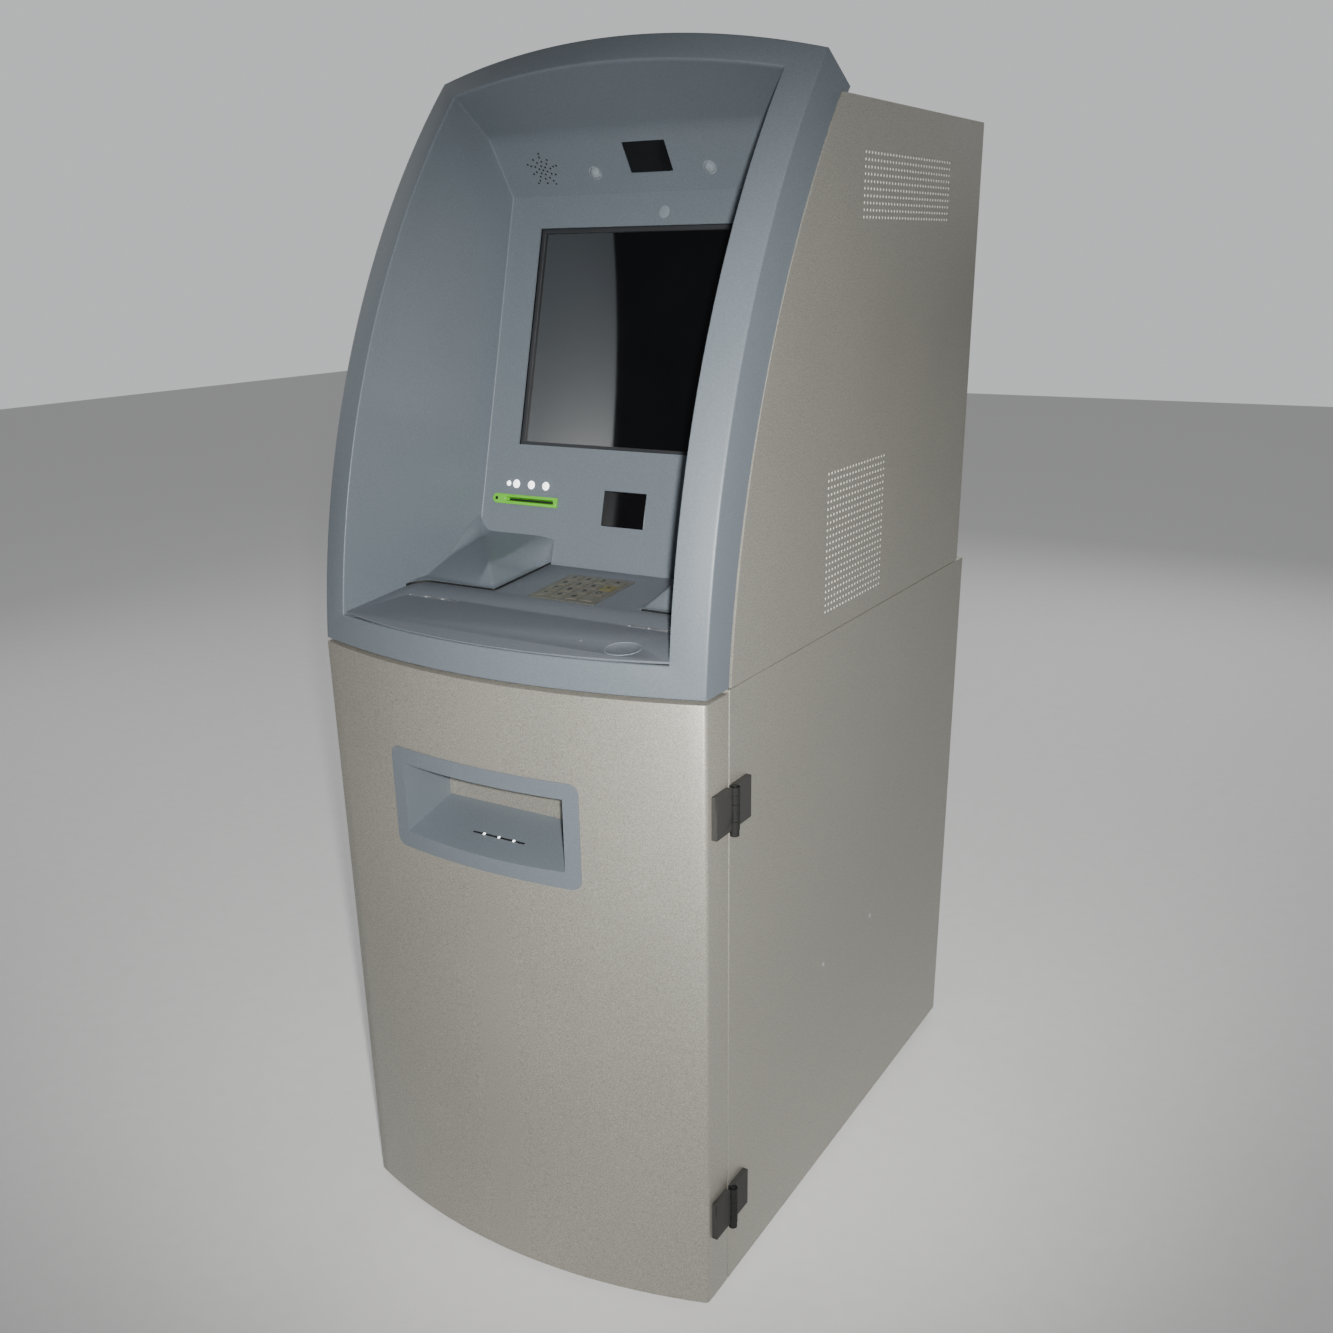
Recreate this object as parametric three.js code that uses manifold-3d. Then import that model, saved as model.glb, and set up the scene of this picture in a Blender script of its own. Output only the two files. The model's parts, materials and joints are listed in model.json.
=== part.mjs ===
// Free-standing lobby cash machine, in millimetres, +Z up, front facing -Y.
// The design is laid out from the corner of the front door: x = 0 is the middle of the cabinet,
// y = 0 is the plane of the door's two front corners, z = 0 is the floor. The finished group is
// moved so that its own origin is the bottom centre of the whole machine's box.
import * as THREE from "three";
import { mergeVertices } from "three/addons/utils/BufferGeometryUtils.js";
import Module from "manifold-3d";

const wasm = await Module();
wasm.setup();

// ---- Driving dimensions -------------------------------------------------------------------
const WIDTH = 600;
const HALF = WIDTH / 2;
const BOW = 52; // how far the middle of the front stands ahead of its corners
const GAP = 0.3; // between pieces that touch
const FOOT_HEIGHT = 12;

const DOOR_BOTTOM = 12;
const DOOR_TOP = 890;
const DOOR_BACK = 54;
const DOOR_SHEET = 3.5;
const DOOR_LIP = 20;

const CABINET_FRONT = 57;
const LOWER_BACK = 897;
const LOWER_BOTTOM = 12;
const LOWER_TOP = 893;
const LOWER_WALL = 4;
const LOWER_FLANGE = 34;

const UPPER_BOTTOM = 894.5;
const ROOF = 1561;
const UPPER_BACK = 866;
const UPPER_WALL = 3;

// The machine's front leans back along one arc, seen from the side.
const ARC_RADIUS = 1164;
const ARC_CENTRE_Y = 1161.6;
const ARC_CENTRE_Z = 799.6;
const FASCIA_DEPTH = 55;
const CABINET_ARC_OFFSET = 60;

const FASCIA_HALF = 298.8;
const FASCIA_TAPER = 0.0335; // share of its front's width that the fascia loses by its top corners
const FASCIA_TAPER_HEIGHT = 705;
const FASCIA_TAPER_POWER = 1.3;
const FASCIA_BOTTOM = 895;
const FASCIA_TOP = 1660;
const FASCIA_WALL = 4;
const FASCIA_TOP_LEAN = THREE.MathUtils.degToRad(43);
const FASCIA_TOP_CREST = 1410.4; // height of the top edge along the leaning direction
const FASCIA_TOP_ARCH = 18;
const OPENING_BOTTOM = 934;
const OPENING_HALF_BOTTOM = 254;
const OPENING_HALF_TOP = 246;
const OPENING_TOP_SIDE = 1587;
const OPENING_TOP_MIDDLE = 1609;

const NICHE_HALF = 255;
const LINER_WALL = 3;
const WALL_LEAN = THREE.MathUtils.degToRad(15);
const WALL_FOOT_Y = 285;
const WALL_FOOT_Z = 960;
const WALL_LENGTH = 521;
const PANEL_LEAN = THREE.MathUtils.degToRad(33.7);
const PANEL_LENGTH = 90;
const PANEL_HALF = NICHE_HALF - 0.4;
const SHEET = 3;

const SHELF_SLOPE = THREE.MathUtils.degToRad(4.4);
const SHELF_Y = -10;
const SHELF_Z = 937;
const SHELF_SHOULDER = 157.5; // where the shelf narrows between the two pods
const SHELF_TONGUE_HALF = 117.6;
const SHELF_BACK = 293.5;

const CONSOLE_X = -5; // the console's own centre line
const SCREEN_HALF = 200;
const SCREEN_LOW = 168.5;
const SCREEN_HIGH = 476.5;
const SCREEN_RECESS = 8;

const KEYPAD_SIZE = 108;
const KEYPAD_CENTRE = 207;
const KEY_SIZE = 19;
const KEY_PITCH = 24;
const KEY_TRAVEL = 2;

const HINGE_X = 308.5;
const HINGE_Y = 55.5;
const HINGE_HEIGHTS = { upper: 743, lower: 146 };

const RECESS_LEFT = -140;
const RECESS_RIGHT = 120;
const RECESS_FLOOR_FRONT = 654;
const RECESS_FLOOR_BACK = 676;
const RECESS_ROOF = 752.5;
const RECESS_BORDER = 22;
const BORDER_PROUD = 1.5;
const RECESS_FRONT = -42;
const RECESS_BACK = 50;

// ---- Colours ------------------------------------------------------------------------------
const silverPaint = { color: 0x9c9a90, roughness: 0.5, metalness: 0.35 };
const fasciaPaint = { color: 0x7b8896, roughness: 0.45, metalness: 0.1 };
const shelfPaint = { color: 0x6d727a, roughness: 0.6, metalness: 0.1 };
const blackSteel = { color: 0x17191a, roughness: 0.45, metalness: 0.7 };
const bareSteel = { color: 0x9a9da0, roughness: 0.4, metalness: 0.9 };
const darkPlastic = { color: 0x24262a, roughness: 0.55, metalness: 0 };
const darkGlass = { color: 0x050506, roughness: 0.05, metalness: 0 };
const greenPlastic = { color: 0x5fc02a, roughness: 0.35, metalness: 0 };
const bronzeMetal = { color: 0x9b9482, roughness: 0.4, metalness: 0.8 };
const cassettePlastic = { color: 0x3a4048, roughness: 0.5, metalness: 0 };
const whitePaper = { color: 0xf0efe9, roughness: 0.9, metalness: 0 };

// ---- Geometry helpers ---------------------------------------------------------------------
function solidOf(geometry) {
  const bare = geometry.clone();
  bare.deleteAttribute("normal");
  bare.deleteAttribute("uv");
  const merged = mergeVertices(bare, 1e-4);
  const mesh = new wasm.Mesh({
    numProp: 3,
    vertProperties: Float32Array.from(merged.attributes.position.array),
    triVerts: Uint32Array.from(merged.index.array),
  });
  return new wasm.Manifold(mesh);
}

function geometryOf(solid) {
  const mesh = solid.getMesh();
  const geometry = new THREE.BufferGeometry();
  geometry.setAttribute("position", new THREE.BufferAttribute(mesh.vertProperties, 3));
  geometry.setIndex(new THREE.BufferAttribute(mesh.triVerts, 1));
  geometry.computeVertexNormals();
  return geometry;
}

function box(x0, x1, y0, y1, z0, z1) {
  const geometry = new THREE.BoxGeometry(x1 - x0, y1 - y0, z1 - z0);
  geometry.translate((x0 + x1) / 2, (y0 + y1) / 2, (z0 + z1) / 2);
  return solidOf(geometry);
}

// A flat shape pushed along X: the shape's own axes are Y and Z.
function prismX(shape, x0, x1, curveSegments = 12) {
  const geometry = new THREE.ExtrudeGeometry(shape, {
    depth: x1 - x0,
    bevelEnabled: false,
    curveSegments,
  });
  const basis = new THREE.Matrix4().makeBasis(
    new THREE.Vector3(0, 1, 0),
    new THREE.Vector3(0, 0, 1),
    new THREE.Vector3(1, 0, 0),
  );
  geometry.applyMatrix4(basis);
  geometry.translate(x0, 0, 0);
  return solidOf(geometry);
}

// A flat shape pushed along Y: the shape's own axes are X and Z.
function prismY(shape, y0, y1, curveSegments = 12) {
  const geometry = new THREE.ExtrudeGeometry(shape, {
    depth: y1 - y0,
    bevelEnabled: false,
    curveSegments,
  });
  geometry.rotateX(Math.PI / 2);
  geometry.translate(0, y1, 0);
  return solidOf(geometry);
}

// A flat shape pushed along Z: the shape's own axes are X and Y.
function prismZ(shape, z0, z1, curveSegments = 12) {
  const geometry = new THREE.ExtrudeGeometry(shape, {
    depth: z1 - z0,
    bevelEnabled: false,
    curveSegments,
  });
  geometry.translate(0, 0, z0);
  return solidOf(geometry);
}

function polygon(points) {
  return new THREE.Shape(points.map(([a, b]) => new THREE.Vector2(a, b)));
}

function roundedRectangle(a0, a1, b0, b1, radius) {
  const shape = new THREE.Shape();
  shape.moveTo(a0 + radius, b0);
  shape.lineTo(a1 - radius, b0);
  shape.absarc(a1 - radius, b0 + radius, radius, -Math.PI / 2, 0, false);
  shape.lineTo(a1, b1 - radius);
  shape.absarc(a1 - radius, b1 - radius, radius, 0, Math.PI / 2, false);
  shape.lineTo(a0 + radius, b1);
  shape.absarc(a0 + radius, b1 - radius, radius, Math.PI / 2, Math.PI, false);
  shape.lineTo(a0, b0 + radius);
  shape.absarc(a0 + radius, b0 + radius, radius, Math.PI, 1.5 * Math.PI, false);
  return shape;
}

// A cylinder whose axis runs along "x", "y" or "z", from a0 to a1, around the other two centres.
function cylinder(axis, a0, a1, radius, centre, segments = 24) {
  const geometry = new THREE.CylinderGeometry(radius, radius, a1 - a0, segments);
  const middle = (a0 + a1) / 2;
  if (axis === "x") {
    geometry.rotateZ(Math.PI / 2);
    geometry.translate(middle, centre[0], centre[1]);
  }
  if (axis === "y") {
    geometry.translate(centre[0], middle, centre[1]);
  }
  if (axis === "z") {
    geometry.rotateX(Math.PI / 2);
    geometry.translate(centre[0], centre[1], middle);
  }
  return solidOf(geometry);
}

function unite(solids) {
  return solids.reduce((whole, piece) => whole.add(piece));
}

// ---- The machine's curves -----------------------------------------------------------------
function bowAt(x) {
  return BOW * (1 - (x / HALF) ** 2);
}

function taperAt(z) {
  const climb = Math.max(0, z - FASCIA_BOTTOM) / FASCIA_TAPER_HEIGHT;
  return 1 - FASCIA_TAPER * climb ** FASCIA_TAPER_POWER;
}

function arcAt(z) {
  return ARC_CENTRE_Y - Math.sqrt(ARC_RADIUS ** 2 - (z - ARC_CENTRE_Z) ** 2);
}

// A block whose front follows the bow and, where leaning is set, the arc; a leaning block's front
// also narrows upwards, so that its sides flare out to its back, which keeps its full width. The
// front is moved back by frontOffset, and the back face is at backAt(z).
function curvedBlock({ x0, x1, z0, z1, frontOffset, backAt, leaning, columns, rows }) {
  const geometry = new THREE.BoxGeometry(x1 - x0, 2, z1 - z0, columns, 1, rows);
  geometry.translate((x0 + x1) / 2, 0, (z0 + z1) / 2);
  const place = geometry.attributes.position;
  for (let i = 0; i < place.count; i += 1) {
    const z = place.getZ(i);
    const isFront = place.getY(i) < 0;
    const x = place.getX(i) * (leaning && isFront ? taperAt(z) : 1);
    const lean = leaning ? arcAt(z) : 0;
    place.setX(i, x);
    place.setY(i, isFront ? lean - bowAt(x) + frontOffset : backAt(z));
  }
  return solidOf(geometry);
}

// ---- Assembly helpers ---------------------------------------------------------------------
const machine = new THREE.Group();

function addPiece(parent, name, solid, paint) {
  const mesh = new THREE.Mesh(geometryOf(solid), new THREE.MeshStandardMaterial(paint));
  mesh.name = name;
  parent.add(mesh);
  return mesh;
}

function tiltedGroup(y, z, angle) {
  const group = new THREE.Group();
  group.position.set(0, y, z);
  group.rotation.x = angle;
  machine.add(group);
  return group;
}

// ---- Lower cabinet ------------------------------------------------------------------------
const KEEPER = { x0: -277, x1: -270, y0: 25, z0: 490, z1: 530 };
const BOLT = { y0: 34, y1: 46, z0: 500, z1: 520 };
const INLET = { x: 190, z: 90, halfWidth: 20, halfHeight: 11 };

function buildLowerCabinet() {
  const inside = HALF - LOWER_WALL;
  const mouth = HALF - LOWER_FLANGE;
  const shell = box(-HALF, HALF, CABINET_FRONT, LOWER_BACK, LOWER_BOTTOM, LOWER_TOP)
    .subtract(
      box(
        -inside,
        inside,
        CABINET_FRONT + LOWER_WALL,
        LOWER_BACK - LOWER_WALL,
        LOWER_BOTTOM + LOWER_WALL,
        LOWER_TOP - LOWER_WALL,
      ),
    )
    .subtract(
      box(
        -mouth,
        mouth,
        CABINET_FRONT - 10,
        CABINET_FRONT + 2 * LOWER_WALL,
        LOWER_BOTTOM + LOWER_FLANGE,
        LOWER_TOP - LOWER_FLANGE,
      ),
    );
  const inletHole = box(
    INLET.x - INLET.halfWidth - GAP,
    INLET.x + INLET.halfWidth + GAP,
    LOWER_BACK - 20,
    LOWER_BACK + 20,
    INLET.z - INLET.halfHeight - GAP,
    INLET.z + INLET.halfHeight + GAP,
  );
  // The keeper is a welded tab with a window for the lock's bolt.
  const keeper = box(
    KEEPER.x0,
    KEEPER.x1,
    KEEPER.y0,
    CABINET_FRONT + LOWER_WALL,
    KEEPER.z0,
    KEEPER.z1,
  );
  const window = box(
    KEEPER.x0 - 1,
    KEEPER.x1 + 1,
    BOLT.y0 - 1,
    BOLT.y1 + 1,
    BOLT.z0 - 1,
    BOLT.z1 + 1,
  );
  return shell.subtract(inletHole).add(keeper.subtract(window));
}

function footProfile() {
  const points = [
    [0, 0],
    [22, 0],
    [22, 5],
    [9, 8],
    [9, FOOT_HEIGHT - GAP],
    [0, FOOT_HEIGHT - GAP],
  ];
  const geometry = new THREE.LatheGeometry(
    points.map(([r, h]) => new THREE.Vector2(r, h)),
    20,
  );
  geometry.rotateX(Math.PI / 2);
  return solidOf(geometry);
}

function buildPowerInlet() {
  const body = box(
    INLET.x - INLET.halfWidth,
    INLET.x + INLET.halfWidth,
    LOWER_BACK - 40,
    LOWER_BACK + 1,
    INLET.z - INLET.halfHeight,
    INLET.z + INLET.halfHeight,
  );
  const flange = box(
    INLET.x - 26,
    INLET.x + 26,
    LOWER_BACK + GAP,
    LOWER_BACK + 3,
    INLET.z - 17,
    INLET.z + 17,
  );
  const socket = box(
    INLET.x - 13,
    INLET.x + 13,
    LOWER_BACK - 14,
    LOWER_BACK + 5,
    INLET.z - 8,
    INLET.z + 8,
  );
  return body.add(flange).subtract(socket);
}

// ---- Front door, its recess and its lock --------------------------------------------------
const LOCK = { x0: -262, x1: -200, y1: 48, z0: 470, z1: 592, barrelY: 20, barrelZ: 575 };
const BOLT_REST_TIP = -268;

function buildFrontDoor() {
  const backPlane = () => DOOR_BACK;
  const outer = curvedBlock({
    x0: -HALF,
    x1: HALF,
    z0: DOOR_BOTTOM,
    z1: DOOR_TOP,
    frontOffset: 0,
    backAt: backPlane,
    leaning: false,
    columns: 24,
    rows: 1,
  });
  const inner = curvedBlock({
    x0: -HALF + DOOR_SHEET,
    x1: HALF - DOOR_SHEET,
    z0: DOOR_BOTTOM + DOOR_SHEET,
    z1: DOOR_TOP - DOOR_SHEET,
    frontOffset: DOOR_SHEET,
    backAt: () => DOOR_BACK - DOOR_SHEET,
    leaning: false,
    columns: 24,
    rows: 1,
  });
  const mouth = box(
    -HALF + DOOR_LIP,
    HALF - DOOR_LIP,
    DOOR_BACK - 2 * DOOR_SHEET,
    DOOR_BACK + 10,
    DOOR_BOTTOM + DOOR_LIP,
    DOOR_TOP - DOOR_LIP,
  );
  const recessHole = box(
    RECESS_LEFT - 8,
    RECESS_RIGHT + 8,
    -BOW - 20,
    -BOW + 40,
    RECESS_FLOOR_FRONT - 12,
    RECESS_ROOF + 8,
  );
  const barrelHole = cylinder(
    "x",
    -HALF - 5,
    -HALF + 10,
    9 + GAP,
    [LOCK.barrelY, LOCK.barrelZ],
  );
  return outer.subtract(inner).subtract(mouth).subtract(recessHole).subtract(barrelHole);
}

// The lock's case stands on the inside of the bowed front and reaches out to a key barrel on the
// door's left side.
function buildLockCase() {
  const columns = [LOCK.x0, -241, -220, LOCK.x1];
  const outline = columns.map((x) => [x, -bowAt(x) + DOOR_SHEET + 0.6]);
  outline.push([LOCK.x1, LOCK.y1], [LOCK.x0, LOCK.y1]);
  const block = prismZ(polygon(outline), LOCK.z0, LOCK.z1);
  const channel = box(
    LOCK.x0 - 5,
    LOCK.x1 - 4,
    BOLT.y0 - GAP,
    BOLT.y1 + GAP,
    BOLT.z0 - GAP,
    BOLT.z1 + GAP,
  );
  const barrel = cylinder("x", -HALF - 3, LOCK.x0 + 5, 9, [LOCK.barrelY, LOCK.barrelZ]);
  return block.subtract(channel).add(barrel);
}

function buildLockBolt() {
  return box(BOLT_REST_TIP, LOCK.x1 - 10, BOLT.y0, BOLT.y1, BOLT.z0, BOLT.z1);
}

// The recess is one moulding: a border that lies on the bowed door, and a chute behind it whose
// floor climbs towards the shutter.
function buildDispenserBezel() {
  const left = RECESS_LEFT - RECESS_BORDER;
  const right = RECESS_RIGHT + RECESS_BORDER;
  const bottom = RECESS_FLOOR_FRONT - RECESS_BORDER - 2;
  const top = RECESS_ROOF + RECESS_BORDER;
  const border = curvedBlock({
    x0: left,
    x1: right,
    z0: bottom,
    z1: top,
    frontOffset: -BORDER_PROUD,
    backAt: () => 0,
    leaning: false,
    columns: 16,
    rows: 1,
  })
    .subtract(
      curvedBlock({
        x0: left - 5,
        x1: right + 5,
        z0: bottom - 5,
        z1: top + 5,
        frontOffset: -GAP,
        backAt: () => 60,
        leaning: false,
        columns: 16,
        rows: 1,
      }),
    )
    .intersect(prismY(roundedRectangle(left, right, bottom, top, 14), -BOW - 20, 40, 5));
  const climb = (RECESS_FLOOR_BACK - RECESS_FLOOR_FRONT) / (RECESS_BACK - RECESS_FRONT);
  const floorAt = (y) => RECESS_FLOOR_FRONT + climb * (y - RECESS_FRONT);
  const front = -BOW - 20;
  const sleeve = prismX(
    polygon([
      [front, floorAt(front) - 2.5],
      [RECESS_BACK, floorAt(RECESS_BACK) - 2.5],
      [RECESS_BACK, RECESS_ROOF + 2],
      [front, RECESS_ROOF + 2],
    ]),
    RECESS_LEFT - 2,
    RECESS_RIGHT + 2,
  );
  const hollow = prismX(
    polygon([
      [front - 5, floorAt(front - 5)],
      [RECESS_BACK + 5, floorAt(RECESS_BACK + 5)],
      [RECESS_BACK + 5, RECESS_ROOF],
      [front - 5, RECESS_ROOF],
    ]),
    RECESS_LEFT,
    RECESS_RIGHT,
  );
  const aheadOfDoor = curvedBlock({
    x0: left - 10,
    x1: right + 10,
    z0: bottom - 10,
    z1: top + 10,
    frontOffset: -60,
    backAt: () => 60,
    leaning: false,
    columns: 16,
    rows: 1,
  }).subtract(
    curvedBlock({
      x0: left - 20,
      x1: right + 20,
      z0: bottom - 20,
      z1: top + 20,
      frontOffset: -BORDER_PROUD,
      backAt: () => 80,
      leaning: false,
      columns: 16,
      rows: 1,
    }),
  );
  return border.add(sleeve.subtract(aheadOfDoor)).subtract(hollow);
}

function buildDispenserShutter() {
  return box(
    RECESS_LEFT - 8,
    RECESS_RIGHT + 8,
    RECESS_BACK + GAP,
    RECESS_BACK + 2.8,
    RECESS_FLOOR_BACK - 6,
    RECESS_ROOF + 6,
  );
}

// ---- Hinges -------------------------------------------------------------------------------
const KNUCKLES = 5;
const HINGE_HEIGHT = 57;
const KNUCKLE_RADIUS = 6.5;
const PIN_RADIUS = 3;
const LEAF_INNER = HALF + GAP;
const LEAF_OUTER = HALF + 8;
const LEAF_REACH = 45;

// side is -1 for the leaf on the door and +1 for the leaf on the cabinet; firstKnuckle is the
// lowest knuckle that the leaf carries, and it carries every second one.
function buildHingeLeaf(height, side, firstKnuckle) {
  const low = height - HINGE_HEIGHT / 2;
  const pitch = HINGE_HEIGHT / KNUCKLES;
  const near = HINGE_Y + side * (KNUCKLE_RADIUS + 0.7);
  const far = HINGE_Y + side * LEAF_REACH;
  const plate = box(
    LEAF_INNER,
    LEAF_OUTER,
    Math.min(near, far),
    Math.max(near, far),
    low,
    low + HINGE_HEIGHT,
  );
  const pieces = [plate];
  for (let k = firstKnuckle; k < KNUCKLES; k += 2) {
    const z0 = low + k * pitch + 0.2;
    const z1 = low + (k + 1) * pitch - 0.2;
    pieces.push(
      box(LEAF_INNER, LEAF_OUTER, Math.min(HINGE_Y, near), Math.max(HINGE_Y, near), z0, z1),
    );
    pieces.push(cylinder("z", z0, z1, KNUCKLE_RADIUS, [HINGE_X, HINGE_Y], 20));
  }
  const bore = cylinder("z", low - 5, low + HINGE_HEIGHT + 5, PIN_RADIUS + GAP, [HINGE_X, HINGE_Y], 20);
  return unite(pieces).subtract(bore);
}

function buildHingePin(height) {
  const low = height - HINGE_HEIGHT / 2;
  const shank = cylinder("z", low - 8, low + HINGE_HEIGHT + 2, PIN_RADIUS, [HINGE_X, HINGE_Y], 20);
  const head = cylinder("z", low - 9, low - GAP, KNUCKLE_RADIUS - 0.5, [HINGE_X, HINGE_Y], 20);
  return shank.add(head);
}

// ---- Cash dispenser -----------------------------------------------------------------------
const RACK = { half: 138, plate: 4, y0: 130, y1: 600, z0: 16.3, top: 640 };
const BAY_FLOORS = [46, 200, 354, 508];
const CASSETTE = { half: 129, y0: 130, y1: 585, height: 148 };
const REJECT_HEIGHT = 122;

function buildDispenserRack() {
  const side = (x0, x1) => box(x0, x1, RACK.y0, RACK.y1, RACK.z0, RACK.top);
  const pieces = [
    side(-RACK.half, -RACK.half + RACK.plate),
    side(RACK.half - RACK.plate, RACK.half),
    box(-RACK.half, RACK.half, RACK.y1 - RACK.plate, RACK.y1, RACK.z0, RACK.top),
    box(-RACK.half, RACK.half, RACK.y0, RACK.y1, RACK.top - RACK.plate, RACK.top),
  ];
  for (const floor of BAY_FLOORS) {
    pieces.push(box(-RACK.half, RACK.half, RACK.y0, RACK.y1, floor, floor + 3));
  }
  return unite(pieces);
}

// A loaded cassette: a closed case with a raised front bezel and a key way in its face.
function buildCassette(floor, height) {
  const z0 = floor + 3 + GAP;
  const body = box(-CASSETTE.half, CASSETTE.half, CASSETTE.y0 + 12, CASSETTE.y1, z0 + 3, z0 + height);
  const runners = box(-CASSETTE.half + 8, -CASSETTE.half + 20, CASSETTE.y0 + 12, CASSETTE.y1, z0, z0 + 4);
  const otherRunner = box(CASSETTE.half - 20, CASSETTE.half - 8, CASSETTE.y0 + 12, CASSETTE.y1, z0, z0 + 4);
  const face = prismY(
    roundedRectangle(-CASSETTE.half, CASSETTE.half, z0 + 1, z0 + height - 1, 8),
    CASSETTE.y0,
    CASSETTE.y0 + 13,
    4,
  );
  return unite([body, runners, otherRunner, face]);
}

const PRESENTER = { x0: -130, x1: 110, y0: 62, y1: 420, z0: 662, z1: 735 };

// The presenter carries the notes forward to the recess; its nose tapers to the mouth.
function buildNotePresenter() {
  const nose = prismX(
    polygon([
      [PRESENTER.y0, 676],
      [PRESENTER.y0 + 70, PRESENTER.z0],
      [PRESENTER.y1, PRESENTER.z0],
      [PRESENTER.y1, PRESENTER.z1],
      [PRESENTER.y0 + 70, PRESENTER.z1],
      [PRESENTER.y0, 712],
    ]),
    PRESENTER.x0,
    PRESENTER.x1,
  );
  const mouth = box(PRESENTER.x0 + 20, PRESENTER.x1 - 20, PRESENTER.y0 - 5, PRESENTER.y0 + 60, 686, 700);
  const legs = unite([
    box(PRESENTER.x0, PRESENTER.x0 + 5, 180, 400, RACK.top + GAP, PRESENTER.z0 + 5),
    box(PRESENTER.x1 - 5, PRESENTER.x1, 180, 400, RACK.top + GAP, PRESENTER.z0 + 5),
  ]);
  return nose.subtract(mouth).add(legs);
}

// ---- Upper cabinet ------------------------------------------------------------------------
function arcPoints(offset, z0, z1, steps) {
  const points = [];
  for (let i = 0; i <= steps; i += 1) {
    const z = z0 + ((z1 - z0) * i) / steps;
    points.push([arcAt(z) + offset, z]);
  }
  return points;
}

const REAR_OPENING = { half: 230, z0: 930, z1: 1500 };
const ARC_STEPS = 16;

function buildUpperCabinet() {
  const outline = arcPoints(CABINET_ARC_OFFSET, UPPER_BOTTOM, ROOF, ARC_STEPS);
  outline.push([UPPER_BACK, ROOF], [UPPER_BACK, UPPER_BOTTOM]);
  const cavity = arcPoints(
    CABINET_ARC_OFFSET + UPPER_WALL + 1,
    UPPER_BOTTOM - 10,
    ROOF - UPPER_WALL,
    ARC_STEPS,
  );
  cavity.push(
    [UPPER_BACK - UPPER_WALL, ROOF - UPPER_WALL],
    [UPPER_BACK - UPPER_WALL, UPPER_BOTTOM - 10],
  );
  const inside = HALF - UPPER_WALL;
  const mouth = HALF - 22;
  const mouthTop = ROOF - 16;
  return prismX(polygon(outline), -HALF, HALF)
    .subtract(prismX(polygon(cavity), -inside, inside))
    .subtract(box(-mouth, mouth, 0, 360, UPPER_BOTTOM - 10, mouthTop))
    .subtract(box(-NICHE_HALF - 7, NICHE_HALF + 7, 0, 352, mouthTop - 5, ROOF + 10))
    .subtract(
      box(
        -REAR_OPENING.half,
        REAR_OPENING.half,
        UPPER_BACK - 10,
        UPPER_BACK + 10,
        REAR_OPENING.z0,
        REAR_OPENING.z1,
      ),
    );
}

const SERVICE_DOOR = { half: 245, z0: 915, z1: 1515, depth: 18 };
const REAR_LOCK = { x: 215, z: 1215 };

function buildRearServiceDoor() {
  const y0 = UPPER_BACK + 0.5;
  const y1 = y0 + SERVICE_DOOR.depth;
  const outer = box(-SERVICE_DOOR.half, SERVICE_DOOR.half, y0, y1, SERVICE_DOOR.z0, SERVICE_DOOR.z1);
  const inner = box(
    -SERVICE_DOOR.half + 2,
    SERVICE_DOOR.half - 2,
    y0 - 5,
    y1 - 2,
    SERVICE_DOOR.z0 + 2,
    SERVICE_DOOR.z1 - 2,
  );
  const lockHole = cylinder("y", y0, y1 + 5, 9 + GAP, [REAR_LOCK.x, REAR_LOCK.z]);
  return outer.subtract(inner).subtract(lockHole);
}

function buildRearLockCam() {
  const outside = UPPER_BACK + 0.5 + SERVICE_DOOR.depth;
  const barrel = cylinder("y", UPPER_BACK - 10, outside + 1, 9, [REAR_LOCK.x, REAR_LOCK.z]);
  const head = cylinder("y", outside + GAP, outside + 4, 13, [REAR_LOCK.x, REAR_LOCK.z]);
  const cam = box(
    REAR_LOCK.x - 6,
    REAR_LOCK.x + 6,
    UPPER_BACK - 10,
    UPPER_BACK - 7,
    REAR_LOCK.z - 40,
    REAR_LOCK.z,
  );
  return unite([barrel, head, cam]);
}

// ---- Fascia -------------------------------------------------------------------------------
// Everything above the arched top edge. The edge is cut square to the leaning front, so the
// cutter is pushed along the direction that points back and down.
function aboveTopEdge(lower) {
  const reach = 340;
  const steps = 12;
  const outline = [];
  for (let i = 0; i <= steps; i += 1) {
    const x = -reach + (2 * reach * i) / steps;
    outline.push([x, FASCIA_TOP_CREST - lower - FASCIA_TOP_ARCH * (x / HALF) ** 2]);
  }
  outline.push([reach, FASCIA_TOP_CREST + 300], [-reach, FASCIA_TOP_CREST + 300]);
  const geometry = new THREE.ExtrudeGeometry(polygon(outline), {
    depth: 4000,
    bevelEnabled: false,
  });
  geometry.translate(0, 0, -2000);
  geometry.applyMatrix4(
    new THREE.Matrix4().makeBasis(
      new THREE.Vector3(1, 0, 0),
      new THREE.Vector3(0, Math.sin(FASCIA_TOP_LEAN), Math.cos(FASCIA_TOP_LEAN)),
      new THREE.Vector3(0, -Math.cos(FASCIA_TOP_LEAN), Math.sin(FASCIA_TOP_LEAN)),
    ),
  );
  return solidOf(geometry);
}

function fasciaBlock(inset, frontOffset, backOffset) {
  return curvedBlock({
    x0: -FASCIA_HALF + inset,
    x1: FASCIA_HALF - inset,
    z0: FASCIA_BOTTOM + inset,
    z1: FASCIA_TOP,
    frontOffset,
    backAt: (z) => arcAt(z) + backOffset,
    leaning: true,
    columns: 14,
    rows: 22,
  });
}

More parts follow.
